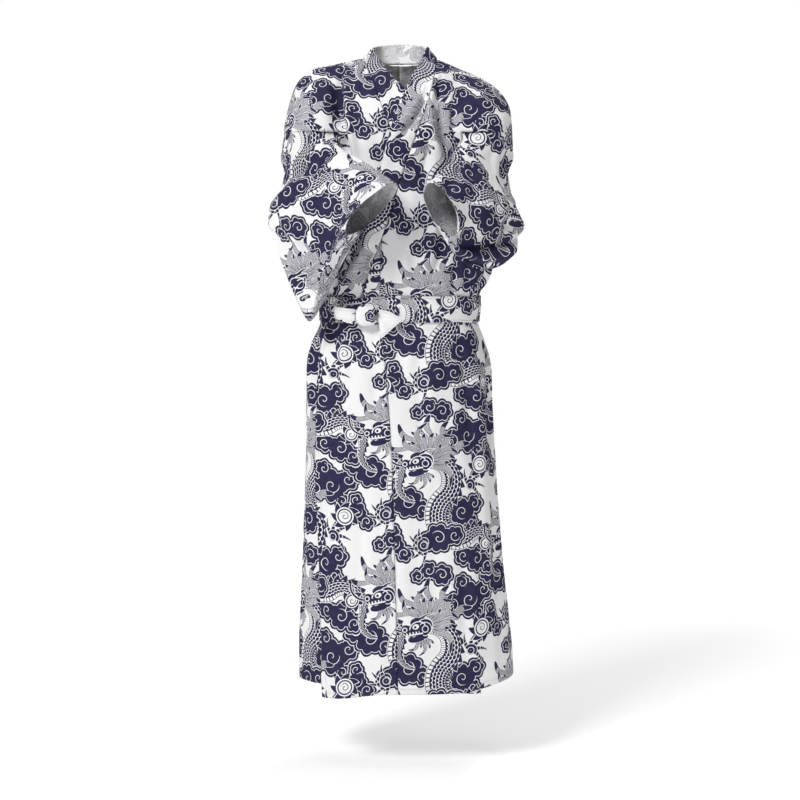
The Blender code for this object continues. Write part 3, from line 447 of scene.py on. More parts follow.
TORSO_RIGHT_SIDE = [
    (-34, -250, -20, -420, 8, 4.8, 12, 6, 0.5),
    (48, -260, 26, -430, -10, 4.8, 12, 6, -0.5),
    (-52, -410, -46, -514, 4, 4.4, 9, 5, 0.6),
    (2, -400, 4, -514, -4, 4.0, 10, 5, 0.6),
    (56, -420, 52, -514, 4, 4.4, 9, 4, -0.6),
    (-54, -572, -70, -780, 4, 3.8, 11, 5, 0.5),
    (-4, -572, -8, -900, 6, 3.6, 13, 6, 0.5),
    (46, -572, 56, -720, -4, 3.4, 9, 5, -0.6),
    (50, -840, 70, -1320, 6, 3.6, 17, 8, 0.5),
    (-30, -980, -34, -1340, -6, 3.0, 18, 9, 0.4),
    (-84, -900, -104, -1330, 4, 3.0, 17, 8, 0.4),
]
SLEEVE_RIGHT_FRONT = [
    # from the crook of the arm out along the forearm, and over the elbow
    (-108, -222, -40, -268, 10, 5.5, 9, 4, 0.6),
    (-240, -262, -140, -200, -14, 5.5, 12, 6, 0.6),
    (-252, -330, -190, -262, -10, 3.8, 12, 6, -0.5),
    (-200, -230, -165, -330, 12, 3.0, 14, 7, 0.5),
    (-262, -360, -235, -450, 10, 4.2, 11, 5, 0.6),
    (-120, -260, -96, -350, 10, 2.6, 12, 6, 0.5),
    # the bag folds in on itself toward its lower corner
    (-262, -405, -165, -452, 16, 5.0, 12, 6, 0.6),
    (-232, -505, -160, -440, 8, 6.0, 9, 4, -0.7),
    (-150, -360, -180, -470, -10, 3.6, 11, 5, 0.5),
    (-205, -380, -212, -520, 6, 3.0, 10, 5, 0.5),
]
SLEEVE_LEFT_FRONT = [
    (112, -225, 70, -268, -6, 4.6, 9, 4, 0.6),
    (226, -190, 240, -330, -14, 6.0, 11, 5, -0.6),
    (196, -190, 214, -340, -8, 2.8, 13, 6, 0.5),
    (262, -372, 185, -342, 8, 3.6, 12, 6, 0.5),
    (258, -396, 120, -408, 10, 8.0, 10, 4, 0.8),
    (150, -235, 135, -350, 10, 2.8, 13, 6, 0.5),
    (85, -425, 190, -446, -6, 4.4, 9, 4, 0.6),
    (120, -260, 96, -330, -6, 2.8, 11, 5, 0.5),
    (230, -330, 205, -400, 8, 3.4, 10, 5, -0.5),
]
SLEEVE_SIDE = [
    (-50, -200, -60, -330, 12, 4.2, 13, 6, 0.5),
    (10, -200, -30, -340, -12, 4.8, 13, 6, -0.5),
    (-100, -330, -20, -370, 12, 4.8, 12, 6, 0.6),
    (-130, -400, -50, -400, 10, 4.2, 12, 6, 0.5),
]
SLEEVE_BACK = [
    (220, -200, 190, -330, 10, 4.6, 13, 6, 0.5),
    (170, -200, 165, -320, -8, 3.8, 12, 6, -0.5),
    (250, -340, 160, -380, 12, 4.8, 12, 6, 0.6),
]


def mirrored(rows):
    """The same creases on the other side of the robe."""
    return [(-a, b, -c, d, -e, f, g, h, -i) for a, b, c, d, e, f, g, h, i in rows]


# Each view's outward direction and which axis runs across it.
VIEWS = {
    "front": (np.array([0, -1, 0]), 0),
    "back": (np.array([0, 1, 0]), 0),
    "left": (np.array([1, 0, 0]), 1),
    "right": (np.array([-1, 0, 0]), 1),
}
TORSO_CREASES = {"front": TORSO_FRONT, "back": TORSO_BACK,
                 "left": TORSO_LEFT_SIDE, "right": TORSO_RIGHT_SIDE}
SLEEVE_CREASES = {
    LEFT: {"front": SLEEVE_LEFT_FRONT, "left": SLEEVE_SIDE, "back": SLEEVE_BACK},
    RIGHT: {"front": SLEEVE_RIGHT_FRONT, "right": SLEEVE_SIDE, "back": mirrored(SLEEVE_BACK)},
}


def power(value, exponent):
    """Raise to a power, keeping the sign."""
    return np.sign(value) * np.abs(value) ** exponent


def smooth(value, start, end):
    """0 before start, 1 past end, an S curve between them."""
    t = np.clip((value - start) / (end - start), 0.0, 1.0)
    return t * t * (3 - 2 * t)


def blend(first, second, share):
    """Go from the first value to the second by this share."""
    return first + (second - first) * share


def points(x, y, z):
    """Stack three coordinates, stretched to one shape, into points."""
    return np.stack(np.broadcast_arrays(x, y, z), -1).astype(float)


def ring(turn, height, offset=0.0):
    """Point on the cloth round the body: a superellipse whose half width and depths follow the
    height, at this turn from the front."""
    depth = np.where(np.cos(turn) > 0, TORSO("front", height), TORSO("back", height)) + offset
    half = TORSO("half_width", height) + offset
    x = TORSO("centre", height) + half * power(np.sin(turn), SQUARE)
    return points(x, -depth * power(np.cos(turn), SQUARE), height)


def front_turn(x, height):
    """Turn at which the front of the ring at this height reaches X."""
    share = (x - TORSO("centre", height)) / TORSO("half_width", height)
    return np.arcsin(power(np.clip(share, -1, 1), 1 / SQUARE))


def yoke(column, x):
    """A column of the yoke table at any X, on whichever side that is."""
    place = np.linspace(0, 1, 400)
    left = np.interp(x, YOKE_LEFT("reach", place), YOKE_LEFT(column, place))
    right = np.interp(-x, YOKE_RIGHT("reach", place), YOKE_RIGHT(column, place))
    return np.where(x > 0, left, right)


def yoke_height(x, rise):
    """Height of the yoke at X, this share of the way up from its line to the shoulder line."""
    return YOKE + (yoke("ridge", x) - YOKE) * rise


def rounded(rise, fullness):
    """Share of the yoke's depth that is left at this share of its height: (1 - rise^2) raised to
    the fullness."""
    return np.clip(1 - rise * rise, 0, 1) ** fullness


def under_share(turn, height):
    """How much of INSET the under front takes: none at the wearer's right side, all past it."""
    heights = [-0.50, -0.42, -0.30, YOKE]
    start = -np.radians(np.interp(height, heights, [80, 72, 56, 50]))
    full = -np.radians(np.interp(height, heights, [63, 54, 38, 28]))
    return smooth(turn, start, full)


def front(x, height, under):
    """Point of the outer front, or of the under one, at this X and height: the ring below the
    yoke line, and above it a depth that rounds off toward the shoulder line."""
    lower = np.minimum(height, YOKE)
    turn = front_turn(x, lower)
    inset = INSET * under_share(turn, lower) * under
    depth_at_yoke = -ring(front_turn(x, YOKE), YOKE)[..., 1]
    share = smooth(height, YOKE_BLEND, YOKE)
    spot = ring(turn, lower, -inset)
    spot[..., 1] -= (yoke("front", x) - depth_at_yoke) * share
    ridge = yoke("ridge", x)
    rise = np.clip((height - YOKE) / np.maximum(ridge - YOKE, 1e-6), 0, 1)
    spot[..., 0] = blend(spot[..., 0], x, rise**2)
    spot[..., 1] *= rounded(rise, RIDGE_FULLNESS)
    spot[..., 2] = height
    return spot


def chest_turns(side, height):
    """Turns of the front columns at each height, from the front edge to the arm crease."""
    edge = front_turn(FRONTS[side]("panel", height) + side * SEAM / 2, height)
    crease = front_turn(side * YOKES[side]("reach", CREASE), YOKE)
    return blend(edge, crease, np.linspace(0, 1, CHEST_COLUMNS + 1))


def back_reaches(side):
    """X of the back columns at the yoke, from the arm crease to the centre back."""
    crease = YOKES[side]("reach", CREASE)
    shoulder = np.linspace(crease, NECK_REACH, CHEST_COLUMNS + 1)
    neck = NECK_REACH * np.cos(np.linspace(0, np.pi / 2, NECK_COLUMNS + 1)[1:])
    return side * np.concatenate([shoulder, neck])


def hem_height(side, x, turn):
    """Height of the hem: both fronts hang lower toward their free lower corner."""
    in_front = np.clip(np.cos(turn), 0, 1)
    corner = HEM_CORNER[side] * smooth(-side * x, *HEM_CORNER_SPAN[side])
    if side == LEFT:
        lowest = HEM - HEM_FRONT[side] * in_front**0.5 - corner * in_front**0.3
        return lowest + HEM_SIDE * smooth(x, *HEM_SIDE_SPAN)
    return HEM - HEM_FRONT[side] * in_front - corner


def lowered(side, x, turn, height):
    """Height of a point of the lower cloth once the hem's line is followed."""
    drop = hem_height(side, x, turn) - HEM
    return height + drop * smooth(-height, -HEM_BLEND, -HEM)


def lower_body(side):
    """The half of the robe below the yoke, from the front edge round to the centre back: the ring
    at each height, drawn to the yoke's own outline near the yoke line. Gives the points, their
    turns, and their heights before the hem's line is followed."""
    heights = LOWER_HEIGHTS[:, None]
    chest = chest_turns(side, heights)
    crease = chest[0, -1]
    reaches = back_reaches(side)
    back = side * np.pi - front_turn(reaches, YOKE)
    flank = blend(crease, back[0], np.linspace(0, 1, SIDE_COLUMNS + 1)[1:-1])
    flank = np.broadcast_to(flank, (len(heights), SIDE_COLUMNS - 1))
    back = np.broadcast_to(back, (len(heights), len(reaches)))
    turn = np.concatenate([chest, flank, back], 1)
    column = np.arange(turn.shape[1])
    pit = np.sin(np.pi * np.clip((column - CHEST_COLUMNS) / SIDE_COLUMNS, 0, 1)) ** 0.8
    height = heights - ARMHOLE_DROP * pit * smooth(heights, ARMHOLE_BLEND, YOKE)
    under = float(side == RIGHT)
    offset = -INSET * under * under_share(turn, height)
    spot = ring(turn, height, offset)
    in_front = front(ring(turn, height)[..., 0], height, under)
    spot[:, :CHEST_COLUMNS + 1] = in_front[:, :CHEST_COLUMNS + 1]
    top_front = yoke("front", spot[..., 0]) + ring(turn, YOKE)[..., 1]
    top_back = yoke("back", spot[..., 0]) - ring(turn, YOKE)[..., 1]
    near = smooth(height, YOKE_BLEND, YOKE)
    flank_share = np.clip((column - CHEST_COLUMNS) / SIDE_COLUMNS, 0, 1)
    front_share = np.clip(1 - FLANK_FADE * flank_share, 0, 1) * (column > CHEST_COLUMNS)
    back_share = np.clip(FLANK_FADE * flank_share - (FLANK_FADE - 1), 0, 1)
    crease_front = top_front[:, CHEST_COLUMNS:CHEST_COLUMNS + 1]
    crease_back = top_back[:, CHEST_COLUMNS + SIDE_COLUMNS:CHEST_COLUMNS + SIDE_COLUMNS + 1]
    is_back = column >= CHEST_COLUMNS + SIDE_COLUMNS
    spot[..., 1] -= crease_front * front_share * near
    spot[..., 1] += np.where(is_back, top_back, crease_back * back_share) * near
    level = spot[..., 2].copy()
    spot[..., 2] = lowered(side, spot[..., 0], turn, height)
    return spot, turn, level


def yoke_front(side):
    """The front of the yoke: columns fan in from the yoke line to the shoulder line, and the
    depth in front rounds off as they rise."""
    lean = YOKE_LEAN[:, None]
    turns = chest_turns(side, np.array([[YOKE]]))
    low = ring(turns, YOKE)[..., 0]
    high = side * np.linspace(NECK_REACH, YOKES[side]("reach", CREASE), CHEST_COLUMNS + 1)
    gather = 1 - (1 - lean) ** NECK_CURVE[side]
    chest_x = blend(low, high, gather)
    places = np.linspace(CREASE, 1.0, ARM_COLUMNS + 1)[1:]
    arm_x = side * YOKES[side]("reach", places) * np.ones_like(lean)
    x = np.concatenate([chest_x, arm_x], 1)
    spot = front(x, yoke_height(x, lean), float(side == RIGHT))
    outer = x[:, CHEST_COLUMNS + 1:]
    depth = yoke("front", outer) * rounded(lean, RIDGE_FULLNESS)
    spot[:, CHEST_COLUMNS + 1:] = points(outer, -depth, yoke_height(outer, lean))
    return spot


def neck_cut(x):
    """Share of the yoke's height at which the back ends: 1 on the shoulder, less at the neck."""
    return 1 - BACK_NECK_DROP * np.sqrt(np.clip(1 - (x / NECK_REACH) ** 2, 0, 1))


def yoke_back(side):
    """The back of the yoke, from its line up to the shoulder line and the back neck: straight
    columns whose depth rounds off as they rise."""
    lean = YOKE_LEAN[:, None]
    places = np.linspace(1.0, CREASE, ARM_COLUMNS + 1)[:-1]
    x = np.concatenate([side * YOKES[side]("reach", places), back_reaches(side)])
    rise = lean * neck_cut(x)
    fullness = blend(BACK_FULLNESS, RIDGE_FULLNESS, smooth(np.abs(x), 0.07, 0.22))
    depth = yoke("back", x) * rounded(rise, fullness)
    return points(x * np.ones_like(lean), depth, yoke_height(x, rise))


def run(grid, axis):
    """Length of cloth from the first point along one direction of a grid."""
    steps = np.linalg.norm(np.diff(grid, axis=axis), axis=-1)
    start = np.zeros_like(np.take(steps, [0], axis=axis))
    return np.concatenate([start, np.cumsum(steps, axis=axis)], axis=axis)


def flat(across, down, cut):
    """Where each point lies on the bolt: metres across it and, upward, along it; cut says where
    on the bolt this piece was cut."""
    across, down = np.broadcast_arrays(across, down)
    return np.stack([across + cut[0], cut[1] - down], -1)


def body(side):
    """Front and back of one side: sheets of points, each with its place on the bolt. Across is
    measured from the middle of the robe, down from the shoulder line."""
    low, turn, heights = lower_body(side)
    flank = int(np.argmin(np.abs(np.abs(turn[0]) - np.pi / 2)))
    down = SHOULDER_DROP + YOKE - heights
    ahead, behind = low[:, :flank + 1], low[:, flank:]
    across_ahead = ahead[:, :1, 0] + side * run(ahead, 1)
    across_behind = -side * run(behind[:, ::-1], 1)[:, ::-1]
    above = yoke_front(side)
    above_down = SHOULDER_DROP - run(above, 0)
    above_across = above[:, :1, 0] + side * run(above, 1)
    rear = yoke_back(side)
    rear_run = run(rear, 0)
    ridge_front = np.interp(np.abs(rear[-1, :, 0]), np.abs(above[-1, :, 0]), run(above, 0)[-1])
    rear_down = SHOULDER_DROP - rear_run * ridge_front / np.maximum(rear_run[-1], 1e-6)
    rear_across = -side * run(rear[:, ::-1], 1)[:, ::-1]
    gap = np.array([side * SEAM / 2, 0, 0])
    cut = BODY_CUTS[side]
    return [
        (ahead + gap, flat(across_ahead, down[:, :flank + 1], cut)),
        (behind + gap, flat(across_behind, down[:, flank:], BACK_CUT)),
        (above + gap, flat(above_across, above_down, cut)),
        (rear + gap, flat(rear_across, rear_down, BACK_CUT)),
    ]


def collar_seam(side, height):
    """X of the seam between collar and front below the yoke line."""
    table = FRONTS[side]
    return np.where(height >= GORE_TOP, table("panel", height), table("collar", height))


def gore_sheet(side, heights, turn):
    """Part of a gore: the front's points at these heights and turns, and their places."""
    x = ring(turn, heights)[..., 0]
    spot = front(x, heights * np.ones_like(x), float(side == RIGHT))
    down = SHOULDER_DROP + YOKE - spot[..., 2]
    spot[..., 2] = lowered(side, x, turn, spot[..., 2])
    return spot, flat(x, down, GORE_CUTS[side])


def gore(side):
    """The front gore: from its long seam out to the robe's free edge, cut off by the collar, as
    even steps of the front's turn at each height."""
    split = COLLAR_END - GORE_SPLIT
    upper = np.linspace(split, GORE_TOP - 0.001, GORE_ROWS)
    upper = np.append(upper, GORE_TOP - GORE_POINT)
    upper = np.sort(upper[upper <= GORE_TOP - GORE_POINT])[:, None]
    lower = np.append(LOWER_HEIGHTS[LOWER_HEIGHTS < split], split)[:, None]
    seam_upper = front_turn(FRONTS[side]("panel", upper) - side * SEAM / 2, upper)
    collar_upper = front_turn(collar_seam(side, upper) + side * 2 * SEAM, upper)
    seam_lower = front_turn(FRONTS[side]("panel", lower) - side * SEAM / 2, lower)
    edge_lower = front_turn(FRONTS[side]("gore", lower), lower)
    inner = np.linspace(0, 1, GORE_COLUMNS)
    at_split = edge_lower[-1, 0] - seam_lower[-1, 0]
    share = float((collar_upper[0, 0] - seam_upper[0, 0]) / at_split)
    spread = np.concatenate([inner * share, blend(share, 1, inner)[1:]])
    return [gore_sheet(side, lower, blend(seam_lower, edge_lower, spread)),
            gore_sheet(side, upper, blend(seam_upper, collar_upper, inner))]


def collar_front(side):
    """The collar on one front, from behind the belt up to the shoulder: even steps from its seam
    to its free edge, laid on the front's own shape."""
    low = np.linspace(COLLAR_END, YOKE, COLLAR_ROWS)[:-1]
    bent = 1 - (1 - YOKE_LEAN) ** NECK_CURVE[side]
    neckward = blend(FRONTS[side]("panel", YOKE), side * NECK_REACH, bent)
    seam_x = np.concatenate([collar_seam(side, low), neckward]) - side * SEAM
    seam_z = np.concatenate([low, yoke_height(seam_x[len(low):], YOKE_LEAN)])
    free_x = EDGES[side]("free_x", seam_z)
    free_z = EDGES[side]("free_height", seam_z)
    across = np.linspace(0, 1, COLLAR_COLUMNS + 1)[:, None]
    band_z = blend(seam_z, free_z, across)
    low_z = np.minimum(band_z, YOKE)
    band_turn = blend(front_turn(seam_x, low_z[0]), front_turn(free_x, low_z[-1]), across)
    band_x = ring(band_turn, low_z)[..., 0]
    spot = front(band_x, band_z, float(side == RIGHT))
    stand = np.concatenate([np.zeros_like(low), smooth(YOKE_LEAN, 0.80, 1.0)])
    spot[..., 2] += COLLAR_STAND * stand
    return np.swapaxes(spot, 0, 1)


def collar_back():
    """The collar round the back of the neck, from the wearer's right shoulder to the left: even
    steps from the back's neck edge to a free edge whose width, depth and height are a sine and
    powers of a cosine of the turn."""
    turn = np.linspace(-np.pi / 2, np.pi / 2, 2 * (NECK_COLUMNS + 2) + 1)[1:-1]
    x = (NECK_REACH - SEAM) * np.sin(turn)
    rise = neck_cut(x)
    depth = yoke("back", x) * rounded(rise, BACK_FULLNESS)
    seam = points(x, depth, yoke_height(x, rise) + COLLAR_STAND)
    side_height = blend(EDGE_RIGHT("free_height", 0), EDGE_LEFT("free_height", 0), 0.5)
    height = blend(side_height, BACK_EDGE[1], np.cos(turn) ** 0.8)
    free = points(BACK_REACH * np.sin(turn), BACK_EDGE[0] * np.cos(turn) ** 0.7, height)
    across = np.linspace(0, 1, COLLAR_COLUMNS + 1)[:, None, None]
    return np.swapaxes(blend(seam, free, across), 0, 1)


def collar():
    """One long band: up the under front, round the neck and down the outer front."""
    band = np.concatenate([collar_front(RIGHT), collar_back(), collar_front(LEFT)[::-1]])
    middle = run(band[:, [COLLAR_COLUMNS // 2]], 0)
    return [(band, flat(run(band, 1), middle[-1] - middle, COLLAR_CUT))]


def resample(line, count):
    """The same line cut into equal lengths."""
    length = run(line, 0)
    at = np.linspace(0, length[-1], count)
    return np.stack([np.interp(at, length, line[:, axis]) for axis in range(3)], -1)


def armhole(side):
    """The armhole's edge as one loop of LOOP_POINTS, from the chest crease over the front."""
    yoke_sheet = yoke_front(side)[0, CHEST_COLUMNS:]
    back_sheet = yoke_back(side)[0, :ARM_COLUMNS + 1]
    top = lower_body(side)[0][-1, CHEST_COLUMNS:CHEST_COLUMNS + SIDE_COLUMNS + 1]
    ahead = resample(yoke_sheet, LOOP_POINTS // 2 + 1)
    rest = np.concatenate([back_sheet, top[::-1][1:]])
    behind = resample(rest, LOOP_POINTS // 2 + 1)
    return np.concatenate([ahead, behind[1:-1]])


def section(side, station):
    """A sleeve's loop at this station: down its front from the inner point, back up behind. It
    goes from the inner point to the outer one by (1 - cos)/2 of the turn, and swells to either
    side by its sine."""
    table = SLEEVES[side]
    row = {name: table(name, station) for name in table.columns}
    around = np.linspace(0, 2 * np.pi, LOOP_POINTS, endpoint=False)
    inner = np.array([row["in_x"], row["in_y"], row["in_z"]])
    outer = np.array([row["out_x"], row["out_y"], row["out_z"]])
    along = ((1 - np.cos(around)) / 2)[:, None]
    thin = 1 - (1 - row["bag"]) * smooth(along, row["arm"] - BAG_EASE[0], row["arm"] + BAG_EASE[1])
    swell = np.sin(around)[:, None] * thin
    ahead = np.radians(row["front_way"])
    behind = np.radians(row["back_way"])
    forward = np.array([np.sin(ahead), -np.cos(ahead), 0]) * row["front_depth"]
    backward = np.array([np.sin(behind), -np.cos(behind), 0]) * row["back_depth"]
    backward[2] = row["back_drop"]
    loop = blend(inner, outer, along) + swell * np.where(swell > 0, forward, backward)
    return loop * np.array([side, 1, 1])


def clear_of_body(spot):
    """Push points that would lie in the body straight out until they are clear of its cloth."""
    height = np.minimum(spot[..., 2], YOKE)
    centre = TORSO("centre", height)
    room = SLEEVE_CLEARANCE * (1 + smooth(height, YOKE_BLEND, YOKE))
    half = TORSO("half_width", height) + SLEEVE_CLEARANCE
    depth = np.where(spot[..., 1] < 0, TORSO("front", height), TORSO("back", height)) + room
    across = np.abs((spot[..., 0] - centre) / half) ** (2 / SQUARE)
    level = (across + np.abs(spot[..., 1] / depth) ** (2 / SQUARE)) ** (SQUARE / 2)
    push = 1 / np.clip(level, 1e-3, 1)
    return points(centre + (spot[..., 0] - centre) * push, spot[..., 1] * push, spot[..., 2])


def refine(grid, at):
    """Read rows of a grid at fractional places, on a smooth curve through the rows: each span is
    a cubic that leaves and meets its ends in the direction between their neighbours."""
    padded = np.concatenate([2 * grid[:1] - grid[1:2], grid, 2 * grid[-1:] - grid[-2:-1]])
    left = np.clip(at.astype(int), 0, len(grid) - 2)
    t = (at - left).reshape((-1,) + (1,) * (grid.ndim - 1))
    a, b, c, d = (padded[left + k] for k in range(4))
    curve = (2 * a - 5 * b + 4 * c - d) * t**2 + (3 * b - a - 3 * c + d) * t**3
    return b + 0.5 * ((c - a) * t + curve)


NUDGE = 0.16             # share of its error by which an edge is mended in one round
LAYING_ROUNDS = 2500
# The two ends of every edge and diagonal of a grid, as slices.
NEIGHBOURS = [
    ((slice(None), slice(None, -1)), (slice(None), slice(1, None))),
    ((slice(None, -1), slice(None)), (slice(1, None), slice(None))),
    ((slice(None, -1), slice(None, -1)), (slice(1, None), slice(1, None))),
    ((slice(None, -1), slice(1, None)), (slice(1, None), slice(None, -1))),
]


def laid_flat(grid, side):
    """Lay a sheet out flat: start from lengths round and along it, then nudge every edge and
    diagonal toward its true length, a little at a time."""
    round_it = run(grid, 1)
    along = run(grid, 0).mean(1, keepdims=True)
    place = np.stack([side * (round_it - round_it.mean(1, keepdims=True)),
                      -along * np.ones_like(round_it)], -1)
    rest = [np.linalg.norm(grid[b] - grid[a], axis=-1, keepdims=True) for a, b in NEIGHBOURS]
    for _ in range(LAYING_ROUNDS):
        move = np.zeros_like(place)
        for (a, b), length in zip(NEIGHBOURS, rest):
            gap = place[b] - place[a]
            now = np.linalg.norm(gap, axis=-1, keepdims=True) + 1e-9
            fix = gap * (1 - length / now) * NUDGE
            move[a] += fix
            move[b] -= fix
        place += move
    front_edge = place[0, len(place[0]) // 4:len(place[0]) * 3 // 4]
    lean = front_edge[-1] - front_edge[0]
    turn = np.arctan2(lean[1], lean[0]) - (0 if side > 0 else np.pi)
    spin = np.array([[np.cos(turn), np.sin(turn)], [-np.sin(turn), np.cos(turn)]])
    return (place - front_edge.mean(0)) @ spin.T


def sleeve(side):
    """A tube swept from the armhole through each section to the cuff, and its cloth laid flat,
    cut down the back."""
    start = armhole(side)
    centre = start.mean(0)
    outward = start - centre
    outward[:, 2] = 0
    outward /= np.linalg.norm(outward, axis=1, keepdims=True)
    low = smooth(-side * start[:, :1], *STAND_OFF_FADE)
    start = start - outward * SLEEVE_STAND_OFF * low - np.array([0, 0, RIM_GAP])
    loops = [start]
    for station in STATIONS:
        hanging = start - np.array([0, 0, SLEEVE_FALL * station])
        loop = blend(hanging, section(side, station), smooth(station, 0.2, 2.0))
        loops.append(clear_of_body(loop))
    tube = np.roll(np.stack(loops), LOOP_POINTS // 4, axis=1)
    tube = np.concatenate([tube, tube[:, :1]], 1)
    coarse = np.arange(0, LOOP_POINTS + 1, LAYING_STEP)
    place = laid_flat(tube[:, coarse], side)
    rows = np.linspace(0, len(tube) - 1, SLEEVE_ROWS)
    columns = np.arange(LOOP_POINTS + 1) / LAYING_STEP
    place = np.swapaxes(refine(np.swapaxes(refine(place, rows), 0, 1), columns), 0, 1)
    fine = refine(tube, rows)
    fine = blend(fine, clear_of_body(fine), smooth(rows, 0.0, 1.2)[:, None, None])
    return [(fine, place + np.array(SLEEVE_CUTS[side]))]


def belt_band():
    """The belt round the waist over the outer front: the body's ring at each height of the band,
    moved out by its lift. Two sine waves of the turn raise and widen the band a little, and its
    cloth is rolled by a cosine across it."""
    turn = np.linspace(0, 2 * np.pi, BAND_COLUMNS)
    share = np.linspace(-0.5, 0.5, BAND_ROWS)[:, None]
    wave = sum(size * np.sin(turn * count + phase) for size, count, phase in BELT_WAVES)
    height = BELT_HEIGHT + BELT_WIDTH * share * (1 + wave * 8) + wave
    crumple = BELT_CRUMPLE * np.sin(turn * 17 + share * 5) * (0.3 + share)
    roll = BELT_ROLL * np.cos(np.pi * share * 2) + crumple
    spot = ring(turn, height, BELT_LIFT + roll)
    return [(spot, flat(run(spot, 1), -share * BELT_WIDTH, BELT_CUT))]


def belt_face(x):
    """Depth in Y of the belt's outer face at this X, in front."""
    height = BELT_HEIGHT * np.ones_like(x)
    return ring(front_turn(x, height), height, BELT_LIFT + BELT_WALL / 2)[..., 1]


def knot_depth():
    """Y of the knot's middle: its back just clears the belt's face."""
    beside = KNOT_CENTRE[0] + KNOT_HALF[0] * np.linspace(-0.5, 0.5, 5)
    return float(belt_face(beside).min()) - KNOT_HALF[1] - SEAM


def belt_knot():
    """The knot: a lump of three half sizes, squarer than a ball because its sines and cosines
    are raised to powers below 1. It is drawn in by slanting pleats, each exp(-|sin|) of a slanting
    run across it, where the band wraps it."""
    around = np.linspace(0, 2 * np.pi, KNOT_COLUMNS)
    rise = np.linspace(-np.pi / 2, np.pi / 2, KNOT_ROWS)[:, None]
    x = power(np.cos(rise), KNOT_SQUARE[1]) * power(np.cos(around), KNOT_SQUARE[0])
    y = power(np.cos(rise), KNOT_SQUARE[1]) * power(np.sin(around), KNOT_SQUARE[0])
    z = power(np.sin(rise), KNOT_SQUARE[1]) * np.ones_like(around)
    slant = x * 0.9 + z * 1.5 + 0.25 * np.sin(2.2 * x + 1.0)
    pleat = -np.exp(-np.abs(np.sin(slant * 3.1)) * 5.5) * (1 - 0.55 * np.abs(z))
    size = 0.985 + KNOT_PLEAT * pleat + 0.012 * np.sin(5 * x + 3 * z)
    half = np.array(KNOT_HALF)
    spot = points(x * size * half[0], y * size * half[1], z * size * half[2])
    spot += np.array([KNOT_CENTRE[0], knot_depth(), KNOT_CENTRE[1]])
    return [(spot, flat(x * KNOT_PRINT, -z * KNOT_PRINT, KNOT_CUT))]


def belt_loop():
    """The bow's one loop: the band goes out to the wearer's right by the sine of its reach and
    folds back to the knot. Its two layers stand apart by a sine of the reach, and both are pleated
    by a sine across them that fades away from the knot's grip."""
    around = np.linspace(0, 1, LOOP_COLUMNS)
    reach = np.where(around < 0.5, around * 2, 2 - around * 2)
    start = KNOT_CENTRE[0] - KNOT_HALF[0] - SEAM
    across = np.linspace(-0.5, 0.5, LOOP_ROWS)[:, None]
    x = start - LOOP_LENGTH * np.sin(reach * np.pi / 2)
    half_gap = LOOP_GAP * np.sin(np.pi * np.clip(reach, 0, 1) ** 0.8) + LOOP_ROOM * (reach < 1)
    middle = knot_depth() - LOOP_SET_BACK + LOOP_BEND * ((start - x) / LOOP_LENGTH) ** 2
    pleat = LOOP_PLEAT * np.sin(across * 19 + 0.6) * (1 - reach) ** 1.2
    y = middle + np.where(around < 0.5, -half_gap, half_gap) + pleat
    width = blend(LOOP_WIDTH[0], LOOP_WIDTH[1], np.sin(reach * np.pi / 2))
    z = LOOP_HEIGHT + across * width + 0.012 * reach
    spot = points(x, y, z)
    return [(spot, flat(run(spot, 1), -across * BELT_WIDTH, LOOP_CUT))]


def belt_tail():
    """The short free end: a straight strip that leaves the knot, widens and turns on an S curve
    until it slopes down over the belt's lower edge. It lies off the belt's face by a sine of its
    length, with folds that are a sine across it."""
    along = np.linspace(0, 1, TAIL_COLUMNS)
    across = np.linspace(-0.5, 0.5, TAIL_ROWS)[:, None]
    turn = TAIL_SLOPE * smooth(along, 0.0, 0.8)
    width = blend(TAIL_WIDTH[0], TAIL_WIDTH[1], smooth(along, 0.0, 0.8))
    reach = TAIL_LENGTH * along * (1 + TAIL_SLANT * across)
    start = KNOT_CENTRE[0] + KNOT_HALF[0] + 2 * SEAM
    x = start + np.cos(TAIL_SLOPE) * reach + np.sin(turn) * across * width
    z = TAIL_HEIGHT - np.sin(TAIL_SLOPE) * reach + np.cos(turn) * across * width
    fan = TAIL_FOLD * np.sin(across * 13 + 0.8) * (1 - 0.5 * along)
    rise = TAIL_ARCH * np.sin(np.pi * along)
    y = belt_face(x) - TAIL_CLEAR - rise - TAIL_LEAN * along + fan
    spot = points(x, y, z)
    return [(spot, flat(across * BELT_WIDTH, along * TAIL_LENGTH, TAIL_CUT))]


def crease_depth(spots, normals, creases):
    """How far each point moves along its normal. Beside each crease line, which is bowed sideways
    by a parabola and widest midway, the trough is exp(-(sqrt(d^2 + b^2) - b) / w) and the ridge a
    bell RIDGE_AWAY widths beside it; both fade to nothing at the line's ends and as the cloth
    turns away from the view."""
    total = np.zeros(len(spots))
    for view, rows in creases.items():
        outward, axis = VIEWS[view]
        facing = smooth(normals @ outward, 0.05, 0.55)
        for across, height, across_end, height_end, bow, depth, width, blunt, ridge in rows:
            start = np.array([across, height]) / 1000
            way = np.array([across_end, height_end]) / 1000 - start
            length = np.linalg.norm(way)
            way /= length
            place = spots[:, [axis, 2]] - start
            along = np.clip(place @ way / length, 0, 1)
            bowed = bow / 1000 * 4 * along * (1 - along)
            beside = place @ np.array([-way[1], way[0]]) - bowed
            beside = beside * 1000 / (0.55 + 0.9 * np.sin(np.pi * along) ** 0.5)
            width, blunt = width * FOLD_WIDTH, blunt * FOLD_ROUND
            trough = np.exp(-(np.sqrt(beside**2 + blunt**2) - blunt) / width)
            from_ridge = beside - np.sign(ridge) * RIDGE_AWAY * width
            bell = np.exp(-((from_ridge / (RIDGE_WIDTH * width)) ** 2))
            fade = np.sin(np.pi * along) ** 0.7
            total += facing * fade * depth / 1000 * (abs(ridge) * bell - trough)
    return total


